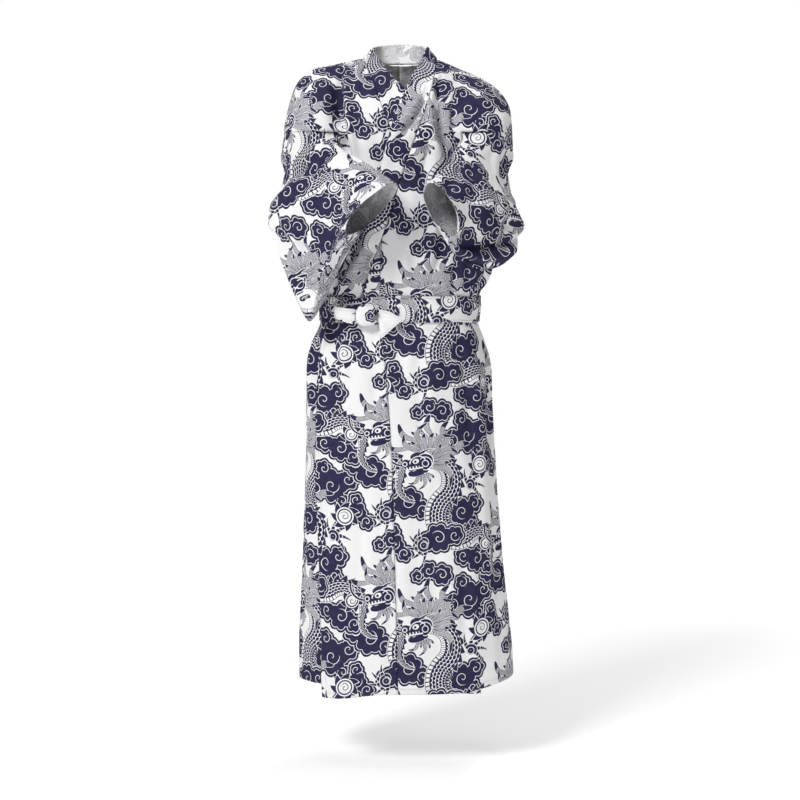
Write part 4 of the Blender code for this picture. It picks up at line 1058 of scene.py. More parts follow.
def slack(spots, amount):
    """The soft unevenness of hanging cloth: four sine waves of the turn round the body and the
    height, which run mostly downward."""
    x, y, z = spots.T
    turn = np.arctan2(x, -y)
    wave = np.sin(turn * 7 + 2.1 * np.sin(z * 5 + 1)) + 0.8 * np.sin(turn * 12 + z * 7 + 2.0)
    wave += 0.7 * np.sin(z * 23 + turn * 4 + 0.5) + 0.5 * np.sin(turn * 21 - z * 11)
    return amount * wave / 2


def sheet_mesh(name, sheets, flip):
    """Join grids of points into one mesh with its Cloth map; edges that meet are welded."""
    spots, faces, places, count = [], [], [], 0
    for spot, place in sheets:
        rows, columns = spot.shape[:2]
        index = count + np.arange(rows * columns).reshape(rows, columns)
        quads = np.stack([index[:-1, :-1], index[:-1, 1:], index[1:, 1:], index[1:, :-1]], -1)
        faces.append(quads.reshape(-1, 4))
        spots.append(spot.reshape(-1, 3))
        places.append(np.broadcast_to(place, (rows, columns, 2)).reshape(-1, 2))
        count += rows * columns
    faces = np.concatenate(faces)
    if flip:
        faces = faces[:, ::-1]
    data = bpy.data.meshes.new(name)
    data.from_pydata(np.concatenate(spots), [], faces.tolist())
    cloth = data.uv_layers.new(name="Cloth")
    corners = np.concatenate(places)[faces.ravel()]
    cloth.uv.foreach_set("vector", corners.ravel().astype(np.float32))
    welded = bmesh.new()
    welded.from_mesh(data)
    bmesh.ops.remove_doubles(welded, verts=welded.verts, dist=WELD)
    bmesh.ops.dissolve_degenerate(welded, edges=welded.edges, dist=NO_LENGTH)
    welded.to_mesh(data)
    welded.free()
    data.shade_smooth()
    return data


DENSE_SHARES = np.linspace(0, 1, 6)[:-1, None, None]    # five points for each step of a line


def dense(line):
    """Points close together along a line of points."""
    line = np.asarray(line)
    return blend(line[:-1], line[1:], DENSE_SHARES).reshape(-1, 3)


def apart(spots, line):
    """Distance from each point to the nearest of a line's points, up to a reach."""
    nearest = np.full(len(spots), SEWING_REACH)
    if len(line) and len(spots):
        square = (line ** 2).sum(1)
        for part in np.array_split(np.arange(len(spots)), 1 + len(spots) // BATCH):
            here = spots[part]
            gap = (here ** 2).sum(1)[:, None] + square - 2 * here @ line.T
            nearest[part] = np.sqrt(np.maximum(gap.min(1), 0))
    return np.minimum(nearest, SEWING_REACH)


def read_points(items, field):
    """Three numbers of each point of a mesh, as rows."""
    values = np.zeros(len(items) * 3)
    items.foreach_get(field, values)
    return values.reshape(-1, 3)


def mark_sewing(data, hems, seams, folds, shrink=1.0):
    """Give every point its distance from the hemmed edges and from the seams. Every free edge of
    the mesh that is neither a hem nor a bare fold is a seam, and so are the lines given."""
    spots = read_points(data.vertices, "co")
    ends = np.zeros(len(data.edges) * 2, int)
    data.edges.foreach_get("vertices", ends)
    loops = np.zeros(len(data.loops), int)
    data.loops.foreach_get("edge_index", loops)
    free = np.bincount(loops, minlength=len(data.edges)) == 1
    ends = spots[ends.reshape(-1, 2)[free]]
    rim = blend(ends[:, 0], ends[:, 1], DENSE_SHARES).reshape(-1, 3)
    hem = np.concatenate([np.zeros((0, 3))] + [dense(line) for line in hems])
    fold = np.concatenate([hem] + [dense(line) for line in folds])
    rim = rim[apart(rim, fold) > HEM_CLEAR]
    sewn = np.concatenate([rim] + [dense(line) for line in seams])
    for name, line in (("hem", hem), ("seam", sewn)):
        held = data.attributes.new(name, "FLOAT", "POINT")
        held.data.foreach_set("value", (apart(spots, line) * shrink).astype(np.float32))


def press(data, creases, amount, ripple, pinned=None):
    """Move a mesh's points along their normals for its creases and its slack: less at the belt,
    and not at all along a pinned seam, so that the two pieces still meet there."""
    spots = read_points(data.vertices, "co")
    normals = read_points(data.vertex_normals, "vector")
    held = smooth(np.abs(spots[:, 2] - BELT_HEIGHT), *BELT_HOLD)
    if pinned is not None:
        held = held * smooth(apart(spots, dense(pinned)), *PINNED)
    depth = crease_depth(spots, normals, creases) * amount + slack(spots, ripple)
    spots += normals * (depth * held)[:, None]
    data.vertices.foreach_set("co", spots.ravel())
    data.update()


def math_node(operation, of_pen=True):
    """A method that draws one Math node of this kind: a pen's from the values that it is given,
    an amount's from itself and those."""
    def draw(self, *values):
        if of_pen:
            return self.math(operation, *values)
        return self.pen.math(operation, self, *values)
    return draw


class Amount:
    """A number worked out by shader nodes, so that a pattern reads as plain arithmetic."""

    __add__ = __radd__ = math_node("ADD", False)
    __mul__ = __rmul__ = math_node("MULTIPLY", False)
    __sub__ = math_node("SUBTRACT", False)
    __truediv__ = math_node("DIVIDE", False)

    def __init__(self, pen, socket):
        self.pen = pen
        self.socket = socket

    def __rsub__(self, other):
        return self.pen.math("SUBTRACT", other, self)

    def __neg__(self):
        return self * -1.0


class Pen:
    """Draws with Math nodes in one material's tree."""

    high, low = math_node("MAXIMUM"), math_node("MINIMUM")
    more, less = math_node("GREATER_THAN"), math_node("LESS_THAN")
    floor, frac = math_node("FLOOR"), math_node("FRACT")
    sine, cosine = math_node("SINE"), math_node("COSINE")
    abs, root = math_node("ABSOLUTE"), math_node("SQRT")
    angle = math_node("ARCTAN2")    # of a place along Y and one along X, in that order

    def __init__(self, tree):
        self.tree = tree

    def feed(self, socket, value):
        """Join an amount to a socket, or set the socket to a plain number."""
        if isinstance(value, Amount):
            self.tree.links.new(value.socket, socket)
        else:
            socket.default_value = float(value)

    def math(self, operation, *values):
        """Work out one Math node."""
        node = self.tree.nodes.new("ShaderNodeMath")
        node.operation = operation
        for socket, value in zip(node.inputs, values):
            self.feed(socket, value)
        return Amount(self, node.outputs[0])

    def spot(self, x, y):
        """Join two amounts into one place."""
        node = self.tree.nodes.new("ShaderNodeCombineXYZ")
        self.feed(node.inputs[0], x)
        self.feed(node.inputs[1], y)
        return node.outputs[0]

    def reach(self, spot, x, y):
        """Distance of a spot from a fixed place."""
        node = self.tree.nodes.new("ShaderNodeVectorMath")
        node.operation = "DISTANCE"
        self.tree.links.new(spot, node.inputs[0])
        node.inputs[1].default_value = (x, y, 0)
        return Amount(self, node.outputs["Value"])

    def wrap(self, value, half):
        """Bring a value within half a repeat of zero."""
        return self.math("WRAP", value, half, -half)

    def power(self, value, exponent):
        """Raise to a power what is above zero of a value."""
        return self.math("POWER", self.high(value, 0.0), exponent)


# The print: one cell of it, in metres, repeats along the cloth and steps half a cell down from
# each column to the next. Ink is 1 and bare cotton 0. Plain numbers in a drawing function are
# places and widths in metres of the cell, or shares of what they multiply.
CELL = (0.190, 0.300)
LINE = 0.00062           # half the width of a line left bare
HALO = 0.0014            # bare rim kept round whatever lies on top
# Each cloud: its middle, and its puffs (x, y, radius, lobes, turn of the lobes) about that.
CLOUDS_UNDER = [
    ((0.158, 0.243), [(0, 0, .031, 8, 0.3), (-.034, -.009, .023, 7, 1.0),
                      (.032, .013, .021, 7, 0.2), (-.014, .031, .017, 6, 2.0),
                      (.021, -.027, .016, 6, 0.7)]),
    ((0.040, 0.122), [(0, 0, .028, 8, 1.1), (.029, -.014, .019, 7, 0.6),
                      (-.028, .015, .021, 7, 0.1)]),
    ((0.143, 0.102), [(0, 0, .026, 8, 0.5), (.027, .014, .019, 6, 0.0),
                      (.021, -.020, .016, 6, 0.4)]),
    ((0.176, 0.014), [(0, 0, .024, 8, 0.0), (-.030, .008, .019, 6, 1.4),
                      (.024, -.014, .017, 6, 0.6)]),
    ((0.104, 0.290), [(0, 0, .020, 7, 0.8), (-.024, .008, .017, 6, 0.1),
                      (-.045, -.002, .014, 6, 0.9)]),
]
CLOUDS_OVER = [
    ((0.098, 0.056), [(0, 0, .026, 8, 0.9), (.030, .004, .019, 6, 0.3),
                      (-.027, -.009, .019, 6, 1.9)]),
    ((0.014, 0.046), [(0, 0, .021, 7, 0.2), (.020, -.017, .016, 6, 0.6),
                      (.000, .023, .014, 5, 0.3)]),
]
SCALLOP = 0.18           # how far a puff's lobes stand out, as a share of its radius
CONTOUR = 0.0046         # the bare contour runs this far inside a cloud's edge
# The serpent's back: where it starts, its heading in degrees, and its bends as radius and sweep;
# a positive sweep turns left.
WINDING = ((0.076, 0.196), 14, [(0.037, -155), (0.045, 172), (0.038, -140), (0.030, 110)])
GIRTH = 0.0195           # half the serpent's thickness, less toward head and tail
TAPER = 0.095            # it thins to its tail by this much for each metre
SCALE_STEP = 0.0072      # from one scale to the next along it
SCALE_ROWS = 3.2         # rows of scales for each half of its thickness
RIB_STEP = 0.0060        # from one rib of its belly to the next
BELLY = 0.50             # the belly starts this share of the thickness below the middle
SPINE_STEP = 0.0105      # from one spine of its back to the next
SPINE_HEIGHT = 0.0088
# Fans of locks: middle, length, heading in degrees, how many, twist per metre, spread of one.
MANE = [((0.078, 0.197), 0.090, 58, 11, -7.0, 0.235), ((0.072, 0.200), 0.070, 66, 11, 6.0, 0.29)]
BEARD = [((0.066, 0.184), 0.040, -62, 5, 14.0, 0.34)]
HEAD = ((0.066, 0.196), 196)              # middle, heading of the snout in degrees
# The head's ellipses about its middle, x along the snout: x, y, half length, half height.
SKULL = [(0, .001, .021, .0165), (.018, .000, .016, .0105)]
NOSE = [(.029, .0050, .0086, .0084), (.006, .0135, .012, .0070)]
JAW = [(.010, -.0170, .018, .0058), (.024, -.0150, .0060, .0050)]
EYE = (.0100, .0048, .0062, .0046)
PUPIL = (.0112, .0044, .0023, .0023)
BROW = (.007, .0010, .0150, .0118)
NOSTRIL = (.0310, .0052, .0040, .0038)
CHEEK = (-.006, -.004, .012, .012)
# Horn and whisker are arcs: x and y of the arc's middle, and its radius.
HORN = (-.018, -.020, .039)
WHISKER = (.030, .030, .0262)
# Each foot: its middle, heading in degrees and size. Each pearl: x, y and radius.
CLAWS = [((0.160, 0.150), 62, 0.034), ((0.070, 0.043), 215, 0.032)]
PEARLS = [(0.183, 0.188, 0.0135), (0.006, 0.190, 0.0105)]


def winding_arcs(start, heading, bends):
    """Turn a list of bends into arcs: middle, radius, first angle, sweep and length so far."""
    x, y = start
    way = np.radians(heading)
    arcs, length = [], 0.0
    for radius, sweep in bends:
        hand = np.sign(sweep)
        middle = (x - hand * radius * np.sin(way), y + hand * radius * np.cos(way))
        first = np.arctan2(y - middle[1], x - middle[0])
        arcs.append((middle, radius, first, hand, abs(np.radians(sweep)), length))
        length += radius * abs(np.radians(sweep))
        last = first + np.radians(sweep)
        x, y = middle[0] + radius * np.cos(last), middle[1] + radius * np.sin(last)
        way += np.radians(sweep)
    return arcs, length


def near(pen, x, y, middle):
    """Coordinates about the nearest repeat of a point of the cell."""
    dx = x - middle[0]
    beside = pen.wrap(dx, CELL[0] / 2)
    column = (dx - beside) * (1 / CELL[0])
    dy = y - middle[1] + column * (CELL[1] / 2)
    return beside, pen.wrap(dy, CELL[1] / 2)


def over(below, cover, ink):
    """Lay ink on what is below, where cover is 1."""
    return below + (ink - below) * cover


def stroke(pen, distance, half=LINE):
    """1 along a line, where the distance from it is small."""
    return pen.less(pen.abs(distance), half)


def draw_cloud(pen, x, y, cloud, below):
    """A cloud: overlapping scalloped puffs, the deepest one on top. A puff's edge is its radius
    and a share of |cos| of the turn; it has one bare contour set in from its edge and a bare
    curl at its heart, an even spiral of the distance less the turn."""
    middle, puffs = cloud
    lx, ly = near(pen, x, y, middle)
    spot = pen.spot(lx, ly)
    deepest, bare = None, None
    for cx, cy, radius, lobes, phase in puffs:
        rho = pen.reach(spot, cx, cy)
        turn = pen.angle(ly - cy, lx - cx)
        scallop = pen.abs(pen.cosine(turn * (lobes / 2) + phase)) * (radius * SCALLOP)
        depth = scallop - rho + radius
        pitch = radius * 0.24 + 0.0044
        coil = pen.wrap(rho * (1 / pitch) - turn * (1 / (2 * np.pi)) - phase, 0.5) * pitch
        heart = pen.less(rho, radius * 0.38 + 0.0036)
        lines = over(pen.abs(depth - CONTOUR), heart, pen.abs(coil))
        if deepest is None:
            deepest, bare = depth, lines
        else:
            closer = pen.more(depth, deepest)
            bare = over(bare, closer, lines)
            deepest = pen.high(depth, deepest)
    ink = pen.more(deepest, 0.0) * pen.more(bare, LINE)
    return over(below, pen.more(deepest, -HALO), ink)


def draw_serpent(pen, x, y, arcs, total, below):
    """A serpent along its arcs, with navy scales on its back, a ribbed belly and a comb of
    spines. The nearest arc gives how far across and along it each place lies."""
    best, along = None, None
    for middle, radius, first, hand, sweep, length in arcs:
        lx, ly = near(pen, x, y, middle)
        rho = pen.reach(pen.spot(lx, ly), 0, 0)
        cos, sin = np.cos(first), np.sin(first)
        ahead = lx * cos + ly * sin
        side = (ly * cos - lx * sin) * hand
        turn = pen.angle(side, ahead)
        turn = turn + pen.less(turn, -0.6) * (2 * np.pi)
        across = (radius - rho) * hand
        outside = pen.high(pen.more(turn, sweep), pen.less(turn, 0.0))
        across_here = across + outside
        along_here = turn * radius + length
        if best is None:
            best, along = across_here, along_here
        else:
            closer = pen.less(pen.abs(across_here), pen.abs(best))
            best = over(best, closer, across_here)
            along = over(along, closer, along_here)
    thinned = (total - along) * TAPER + 0.001
    half = pen.low(GIRTH * pen.low(1.0, 0.62 + along * 6.0), thinned)
    share = best / half            # -1 at the belly, 1 at the back
    inside = half - pen.abs(best)
    row = (share + 0.45) * SCALE_ROWS
    column = along * (1 / SCALE_STEP) + 0.5 * pen.floor(row)
    fx = pen.wrap(column, 0.5)
    fy = pen.frac(row)
    scale = stroke(pen, pen.root(fx * fx + fy * fy * 0.8) - 0.52, 0.105)
    rib = stroke(pen, pen.wrap(along * (1 / RIB_STEP) + share * 0.35, 0.5), 0.13)
    belly = pen.less(share, -BELLY)
    edge = stroke(pen, share + BELLY, 0.07)
    ink = over(1 - scale, belly, rib)
    ink = over(ink, edge, 1.0)
    ink = over(ink, pen.less(inside, 0.0009), 1.0)
    tooth = pen.abs(pen.wrap(along * (1 / SPINE_STEP) - best * 38.0, 0.5)) * 2
    spine_room = (1 - tooth) * SPINE_HEIGHT * pen.low(1.0, half * 75.0)
    back = pen.more(best, 0.0)
    spine = pen.more(spine_room, best - half) * back
    cover = pen.high(pen.more(inside, -HALO), pen.more(spine_room + HALO, best - half) * back)
    shown = pen.less(pen.abs(best), 0.05)
    ink = over(spine, pen.more(inside, 0.0), ink)
    return over(below, cover * shown, ink)


def turned(x, y, heading):
    """Coordinates along and across a heading in degrees."""
    cos, sin = np.cos(np.radians(heading)), np.sin(np.radians(heading))
    return x * cos + y * sin, y * cos - x * sin


def draw_locks(pen, x, y, middle, length, heading, count, swirl, spread, below):
    """A fan of tapering curved locks about a point, hatched along their length: the turn about
    it, twisted by the distance, is cut into equal shares, one for each lock."""
    lx, ly = near(pen, x, y, middle)
    ahead, side = turned(lx, ly, heading)
    rho = pen.reach(pen.spot(lx, ly), 0, 0)
    sway = pen.sine(rho * (7.0 / length)) * 0.16
    place = (pen.angle(side, ahead) + rho * swirl + sway) * (1 / spread)
    beside = pen.wrap(place, 0.5)
    which = place - beside
    reach = (0.80 + 0.20 * pen.sine(which * 2.4 + 1.0)) * length
    taper = 1 - rho / reach
    room = pen.power(taper, 0.45) * 0.66
    width = rho * spread
    within = (room - pen.abs(beside)) * width
    fan = pen.less(pen.abs(which), count / 2)
    hatch = pen.less(pen.abs(pen.wrap(beside * width * 560.0 + 0.25, 0.5)), 0.27)
    rim = pen.less(within, LINE * 1.1)
    tip = pen.less(taper, 0.16)
    ink = pen.high(pen.high(hatch, rim), tip) * pen.more(within, 0.0)
    gap = pen.more(within, -HALO * 0.6) * pen.more(taper, -0.02)
    return over(below, gap * fan, ink)


def disc(pen, x, y, ellipse):
    """How far inside an ellipse a point lies, in units of its size."""
    cx, cy, wide, tall = ellipse
    return 1 - pen.reach(pen.spot((x - cx) * (1 / wide), (y - cy) * (1 / tall)), 0, 0)


def away(pen, x, y, arc):
    """Distance of a place from an arc."""
    cx, cy, radius = arc
    return pen.abs(pen.reach(pen.spot(x, y), cx, cy) - radius)


def draw_head(pen, x, y, middle, heading, below):
    """A serpent's head in side view: brow, blunt snout, open jaw with fangs, horns and whiskers."""
    lx, ly = near(pen, x, y, middle)
    a, b = turned(lx, ly, heading)
    b = -b
    skull, nose, jaw = (pen.high(disc(pen, a, b, first), disc(pen, a, b, second))
                        for first, second in (SKULL, NOSE, JAW))
    shape = pen.high(pen.high(skull, nose), jaw)
    mouth = stroke(pen, b + 0.0098 - a * 0.12, .0013) * pen.more(a, .000)
    fang = pen.less(pen.abs(pen.wrap(a * 170.0, 0.5)), 0.22)
    teeth = stroke(pen, b + 0.0068 - a * 0.12, .0019) * fang * pen.more(a, .006)
    eye = pen.more(disc(pen, a, b, EYE), 0.0)
    pupil = pen.more(disc(pen, a, b, PUPIL), 0.0)
    brow = stroke(pen, disc(pen, a, b, BROW), .075) * pen.more(b, .003)
    nostril = stroke(pen, disc(pen, a, b, NOSTRIL), .22)
    cheek = stroke(pen, pen.wrap(disc(pen, a, b, CHEEK) * 1.9, 0.5), .12)
    cheek = cheek * pen.less(a, .001)
    bare = pen.high(pen.high(mouth, teeth), pen.high(brow, pen.high(nostril, cheek)))
    bare = pen.high(bare, eye * (1 - pupil))
    ink = pen.more(shape, 0.0) * (1 - bare)
    cover = pen.more(shape, -0.09)
    outside = 1 - pen.more(shape, 0.0)
    horn_wide = pen.low(.0030 - (.012 - a) * .070, .0036)
    horn_part = pen.more(b, .006) * pen.less(a, .010)
    horn = (horn_wide - away(pen, a, b, HORN)) * horn_part
    whisker_part = pen.more(a, .031) * pen.less(b, .040)
    whisker = (.0016 - away(pen, a, b, WHISKER)) * whisker_part
    for hair, part in ((horn, horn_part * pen.more(horn_wide, 0.0)), (whisker, whisker_part)):
        ink = over(ink, pen.more(hair, 0.0) * outside, 1.0)
        cover = pen.high(cover, pen.more(hair + .0011, 0.0) * part)
    return over(below, cover, ink)


def draw_claw(pen, x, y, middle, heading, size, below):
    """A clawed foot: a round palm and toes that narrow as they go out from it, hooked because the
    turn about the palm is twisted by the distance."""
    lx, ly = near(pen, x, y, middle)
    ahead, side = turned(lx, ly, heading)
    rho = pen.reach(pen.spot(lx, ly), 0, 0)
    place = (pen.angle(side, ahead) + rho * 16.0) * (1 / 0.70)
    beside = pen.wrap(place, 0.5)
    which = place - beside
    room = .0056 - rho * (.0050 / size)
    toe = room - pen.abs(beside) * rho * 0.70
    toe = pen.low(toe, pen.low(size - rho, 0.02))
    fan = pen.less(pen.abs(which), 2.2)
    knuckle = stroke(pen, pen.wrap(rho * (1 / .0062), 0.5), .10) * pen.less(rho, size * .72)
    shape = pen.high(toe + (fan - 1.0), .0075 - rho)
    ink = pen.more(shape, 0.0) * (1 - knuckle)
    return over(below, pen.more(shape, -HALO * 0.7), ink)


def draw_pearl(pen, x, y, cx, cy, radius, below):
    """A pearl: a bare disc in a navy ring, with a curl in it and licks of flame round it, seven
    saw teeth of the turn."""
    lx, ly = near(pen, x, y, (cx, cy))
    rho = pen.reach(pen.spot(lx, ly), 0, 0)
    turn = pen.angle(ly, lx)
    lick = pen.abs(pen.wrap(turn * (7 / (2 * np.pi)) + rho * 42.0, 0.5)) * 2
    flame = radius * (1.28 + 0.75 * lick) - rho
    rim = stroke(pen, rho - radius * 0.94, 0.0012)
    coil = pen.wrap(rho * (1 / .0062) - turn * (1 / (2 * np.pi)), 0.5)
    curl = stroke(pen, coil, 0.11) * pen.less(rho, radius * .62)
    blaze = pen.more(flame, 0.0) * pen.more(rho, radius * 1.22)
    return over(below, pen.more(flame, -HALO), pen.high(pen.high(rim, curl), blaze))


def draw_print(pen, x, y):
    """Clouds, the serpent, more clouds, its feet, pearls, mane, beard and head, each laid over
    the last."""
    arcs, total = winding_arcs(*WINDING)
    ink = 0.0
    for cloud in CLOUDS_UNDER:
        ink = draw_cloud(pen, x, y, cloud, ink)
    ink = draw_serpent(pen, x, y, arcs, total, ink)
    for cloud in CLOUDS_OVER:
        ink = draw_cloud(pen, x, y, cloud, ink)
    for middle, heading, size in CLAWS:
        ink = draw_claw(pen, x, y, middle, heading, size, ink)
    for cx, cy, radius in PEARLS:
        ink = draw_pearl(pen, x, y, cx, cy, radius, ink)
    for locks in MANE + BEARD:
        ink = draw_locks(pen, x, y, *locks, ink)
    return draw_head(pen, x, y, *HEAD, ink)


# The cloth's weave, wear and sewing, with the painted shade of its seams and stitches, in metres on
# the bolt where they are lengths.
THREADS = 330            # scale of the two waves that make the weave
WEFT = 0.8               # height of the crosswise threads against the lengthwise ones
WEAVE_STRENGTH = 0.25
WEAVE_DEPTH = 0.0003
WEAR = 0.035             # share of the dye that is worn off unevenly
WEAR_SIZE = 55
GROOVE_HALF = 0.0024     # half the width of the groove at a seam
GROOVE_DEPTH = 0.0005
# painted shade in a seam's groove, at its deepest
GROOVE_SHADE = 0.20
HEM_WIDTH = 0.0150       # how wide a hem is turned in
HEM_EDGE = 0.0016        # the width over which it rises
HEM_RISE = 0.0007
STITCH_ROW = 0.0118      # from a hem's edge to its row of stitches
STITCH_HALF = 0.0006     # half a stitch's width
STITCH_STEP = 0.0052     # from one stitch to the next
STITCH_SHARE = 0.60      # share of that which shows
STITCH_DEPTH = 0.0006
# painted shade along the stitches
STITCH_SHADE = 0.45
# colour multiplied into the cloth for the painted shade of the seam grooves and stitches
SEAM_SHADE_COLOUR = (0.45, 0.45, 0.50, 1)
PUCKER_STEPS = (0.019, 0.0133)    # lengths of the two waves of the puckers
PUCKER_REACH = (0.012, 0.014)     # how far they reach from the stitches and from a seam
PUCKER_RISE = 0.00022
RUMPLES = [(7.0, 0.0100), (19.0, 0.0034)]    # scale of each noise, and its height


def nodes_of(material):
    """Start a material's node tree empty but for its output and shader."""
    material.use_nodes = True
    tree = material.node_tree
    tree.nodes.clear()
    output = tree.nodes.new("ShaderNodeOutputMaterial")
    shader = tree.nodes.new("ShaderNodeBsdfPrincipled")
    tree.links.new(shader.outputs[0], output.inputs[0])
    return tree, shader


def set_input(tree, socket, value):
    """Join a socket to another node's output, or set it to a number or a colour."""
    if isinstance(value, bpy.types.NodeSocket):
        tree.links.new(value, socket)
    else:
        socket.default_value = value


def add_node(tree, kind, inputs):
    """A new node with these inputs set."""
    node = tree.nodes.new("ShaderNode" + kind)
    for name, value in inputs.items():
        set_input(tree, node.inputs[name], value)
    return node


def mixed(tree, way, share, below, above):
    """One colour laid over another by a share, in this way."""
    node = tree.nodes.new("ShaderNodeMix")
    node.data_type = "RGBA"
    node.blend_type = way
    # Its inputs 6 and 7 are the two colours; those between are for numbers and directions.
    for index, value in ((0, share), (6, below), (7, above)):
        set_input(tree, node.inputs[index], value)
    return node.outputs[2]


def weave_height(tree, place):
    """Plain weave: threads of two waves at right angles, broken up by a little noise."""
    warp, weft = (add_node(tree, "Mapping", {"Rotation": (0, 0, turn), "Vector": place})
                  for turn in (0.0, np.pi / 2))
    warp, weft = (add_node(tree, "TexWave", {
        "Scale": THREADS, "Distortion": 1.4, "Detail": 1.0, "Detail Scale": 0.35,
        "Vector": way.outputs[0]}) for way in (warp, weft))
    pen = Pen(tree)
    return Amount(pen, warp.outputs["Fac"]) + Amount(pen, weft.outputs["Fac"]) * WEFT


def attribute(tree, pen, name):
    """A number that the mesh carries at each point."""
    node = tree.nodes.new("ShaderNodeAttribute")
    node.attribute_name = name
    return Amount(pen, node.outputs["Fac"])


def sewing(tree, pen, place, along):
    """Relief of the sewing, in metres, and the painted shade in its seam grooves and along its
    stitches: a groove at each seam, a turned hem one layer thicker with a row of stitches, and the
    cloth puckered along both by two sine waves; and the faint sharp rumples of worn cotton, where a
    noise crosses its middle."""
    hem, seam = attribute(tree, pen, "hem"), attribute(tree, pen, "seam")
    groove = pen.high(1 - seam * (1 / GROOVE_HALF), 0.0)
    turned_hem = pen.low(pen.high((HEM_WIDTH - hem) * (1 / HEM_EDGE), 0.0), 1.0)
    row = pen.abs(hem - STITCH_ROW)
    stitch = pen.less(pen.frac(along * (1 / STITCH_STEP)), STITCH_SHARE)
    stitch = pen.less(row, STITCH_HALF) * stitch
    first, second = (along * (2 * np.pi / length) for length in PUCKER_STEPS)
    pucker = pen.sine(first) + pen.sine(second + 1.0)
    beside = pen.high(1 - row * (1 / PUCKER_REACH[0]), 1 - seam * (1 / PUCKER_REACH[1]))
    beside = pen.high(beside, 0.0)
    rumple = 0.0
    for size, depth in RUMPLES:
        noise = add_node(tree, "TexNoise", {
            "Scale": size, "Detail": 1.5, "Distortion": 0.6, "Vector": place})
        rumple = pen.abs(Amount(pen, noise.outputs["Fac"]) - 0.5) * depth + rumple
    relief = rumple + turned_hem * HEM_RISE - groove * GROOVE_DEPTH - stitch * STITCH_DEPTH
    relief = relief + pucker * beside * PUCKER_RISE
    # The second value is painted shade: darker in a seam's groove and along its stitches.
    return relief, pen.high(groove * groove * GROOVE_SHADE, stitch * STITCH_SHADE)


def printed_cotton(name, settings):
    """Printed cotton on the Cloth map, with its weave, slightly uneven dye, and painted shade along
    its seams and stitches.
    """
    material = bpy.data.materials.new(name)
    tree, shader = nodes_of(material)
    pen = Pen(tree)
    bolt = tree.nodes.new("ShaderNodeUVMap")
    bolt.uv_map = "Cloth"
    place = bolt.outputs[0]
    axes = add_node(tree, "SeparateXYZ", {"Vector": place})
    x, y = (Amount(pen, axes.outputs[axis]) * (1 / settings.scale) for axis in (0, 1))
    ink = draw_print(pen, x, y)
    wear = add_node(tree, "TexNoise", {"Scale": WEAR_SIZE, "Detail": 3, "Vector": place})
    # The last factor of the dye is 1 here; the wrong side's copy of this material lowers it.
    dye = ink * (1.0 - Amount(pen, wear.outputs["Fac"]) * WEAR) * 1.0
    dye.socket.node.name = "dye"
    relief, painted_shade = sewing(tree, pen, place, x * settings.scale + y * settings.scale)
    printed = mixed(tree, "MIX", dye.socket, (*settings.ground, 1), (*settings.ink, 1))
    # Painted shade of the seam grooves and stitches, multiplied into the printed colour.
    colour = mixed(tree, "MULTIPLY", painted_shade.socket, printed, SEAM_SHADE_COLOUR)
    sewn = add_node(tree, "Bump", {"Strength": 1.0, "Distance": 1.0, "Height": relief.socket})
    woven = add_node(tree, "Bump", {
        "Strength": WEAVE_STRENGTH, "Distance": WEAVE_DEPTH, "Normal": sewn.outputs[0],
        "Height": weave_height(tree, place).socket})
    tree.links.new(colour, shader.inputs["Base Color"])
    tree.links.new(woven.outputs[0], shader.inputs["Normal"])
    shader.inputs["Roughness"].default_value = 0.85
    shader.inputs["Sheen Weight"].default_value = 0.01
    shader.inputs["Sheen Roughness"].default_value = 0.5
    shader.inputs["Specular IOR Level"].default_value = 0.04
    return material


class RobeCloth(bpy.types.PropertyGroup):
    """Sizes of the robe's cloth."""

    thickness: FloatProperty(
        name="Thickness", description="Wall of one layer of cotton",
        default=0.0009, min=0.0004, max=0.0030, unit="LENGTH")
    creasing: FloatProperty(
        name="Creasing", description="Share of each crease's depth that is pressed in",
        default=2.3, min=0.0, max=3.0, subtype="FACTOR")
    slack: FloatProperty(
        name="Slack", description="Height of the long soft waves in the hanging cloth",
        default=0.0014, min=0.0, max=0.004, unit="LENGTH")


class RobePrint(bpy.types.PropertyGroup):
    """Colours and repeat of the print."""

    ink: FloatVectorProperty(
        name="Ink", description="Colour of the printed indigo",
        default=(0.019, 0.0165, 0.062), size=3, subtype="COLOR")
    ground: FloatVectorProperty(
        name="Ground", description="Colour of the bare cotton",
        default=(0.865, 0.865, 0.875), size=3, subtype="COLOR")
    scale: FloatProperty(
        name="Scale", description="Size of the print against its drawing",
        default=1.15, min=0.5, max=3.0)


class RobeStage(bpy.types.PropertyGroup):
    """The studio round the robe."""

    floor_height: FloatProperty(
        name="Floor height", description="Height of the studio floor below the shoulders",
        default=-1.53, unit="LENGTH")
    distance: FloatProperty(
        name="Camera distance", description="How far the camera stands in front of the robe",
        default=4.0, min=1.0, unit="LENGTH")
    camera_height: FloatProperty(
        name="Camera height", description="Height of the camera",
        default=-0.395, unit="LENGTH")
    tilt: FloatProperty(
        name="Camera tilt", description="How far the camera looks down",
        default=np.radians(4.98), subtype="ANGLE")
    lens: FloatProperty(
        name="Lens", description="Focal length on a 36 mm sensor, in millimetres",
        default=82.89, min=10)


def fabrics(context):
    """The print's right side, and its wrong side where the ink only shows through; made once."""
    right_side = bpy.data.materials.get("indigo_print")
    if right_side is None:
        right_side = printed_cotton("indigo_print", context.scene.robe_print)
        wrong_side = right_side.copy()
        wrong_side.name = "indigo_print_wrong_side"
        wrong_side.node_tree.nodes["dye"].inputs[1].default_value = WRONG_SIDE_DYE
    return [right_side, bpy.data.materials["indigo_print_wrong_side"]]


def link_piece(context, data, node):
    """Put a mesh in the scene in place of a node of the solids."""
    piece = bpy.data.objects.new(data.name, data)
    context.scene.collection.objects.link(piece)
    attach(piece, "root")
    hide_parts(node)
    return piece


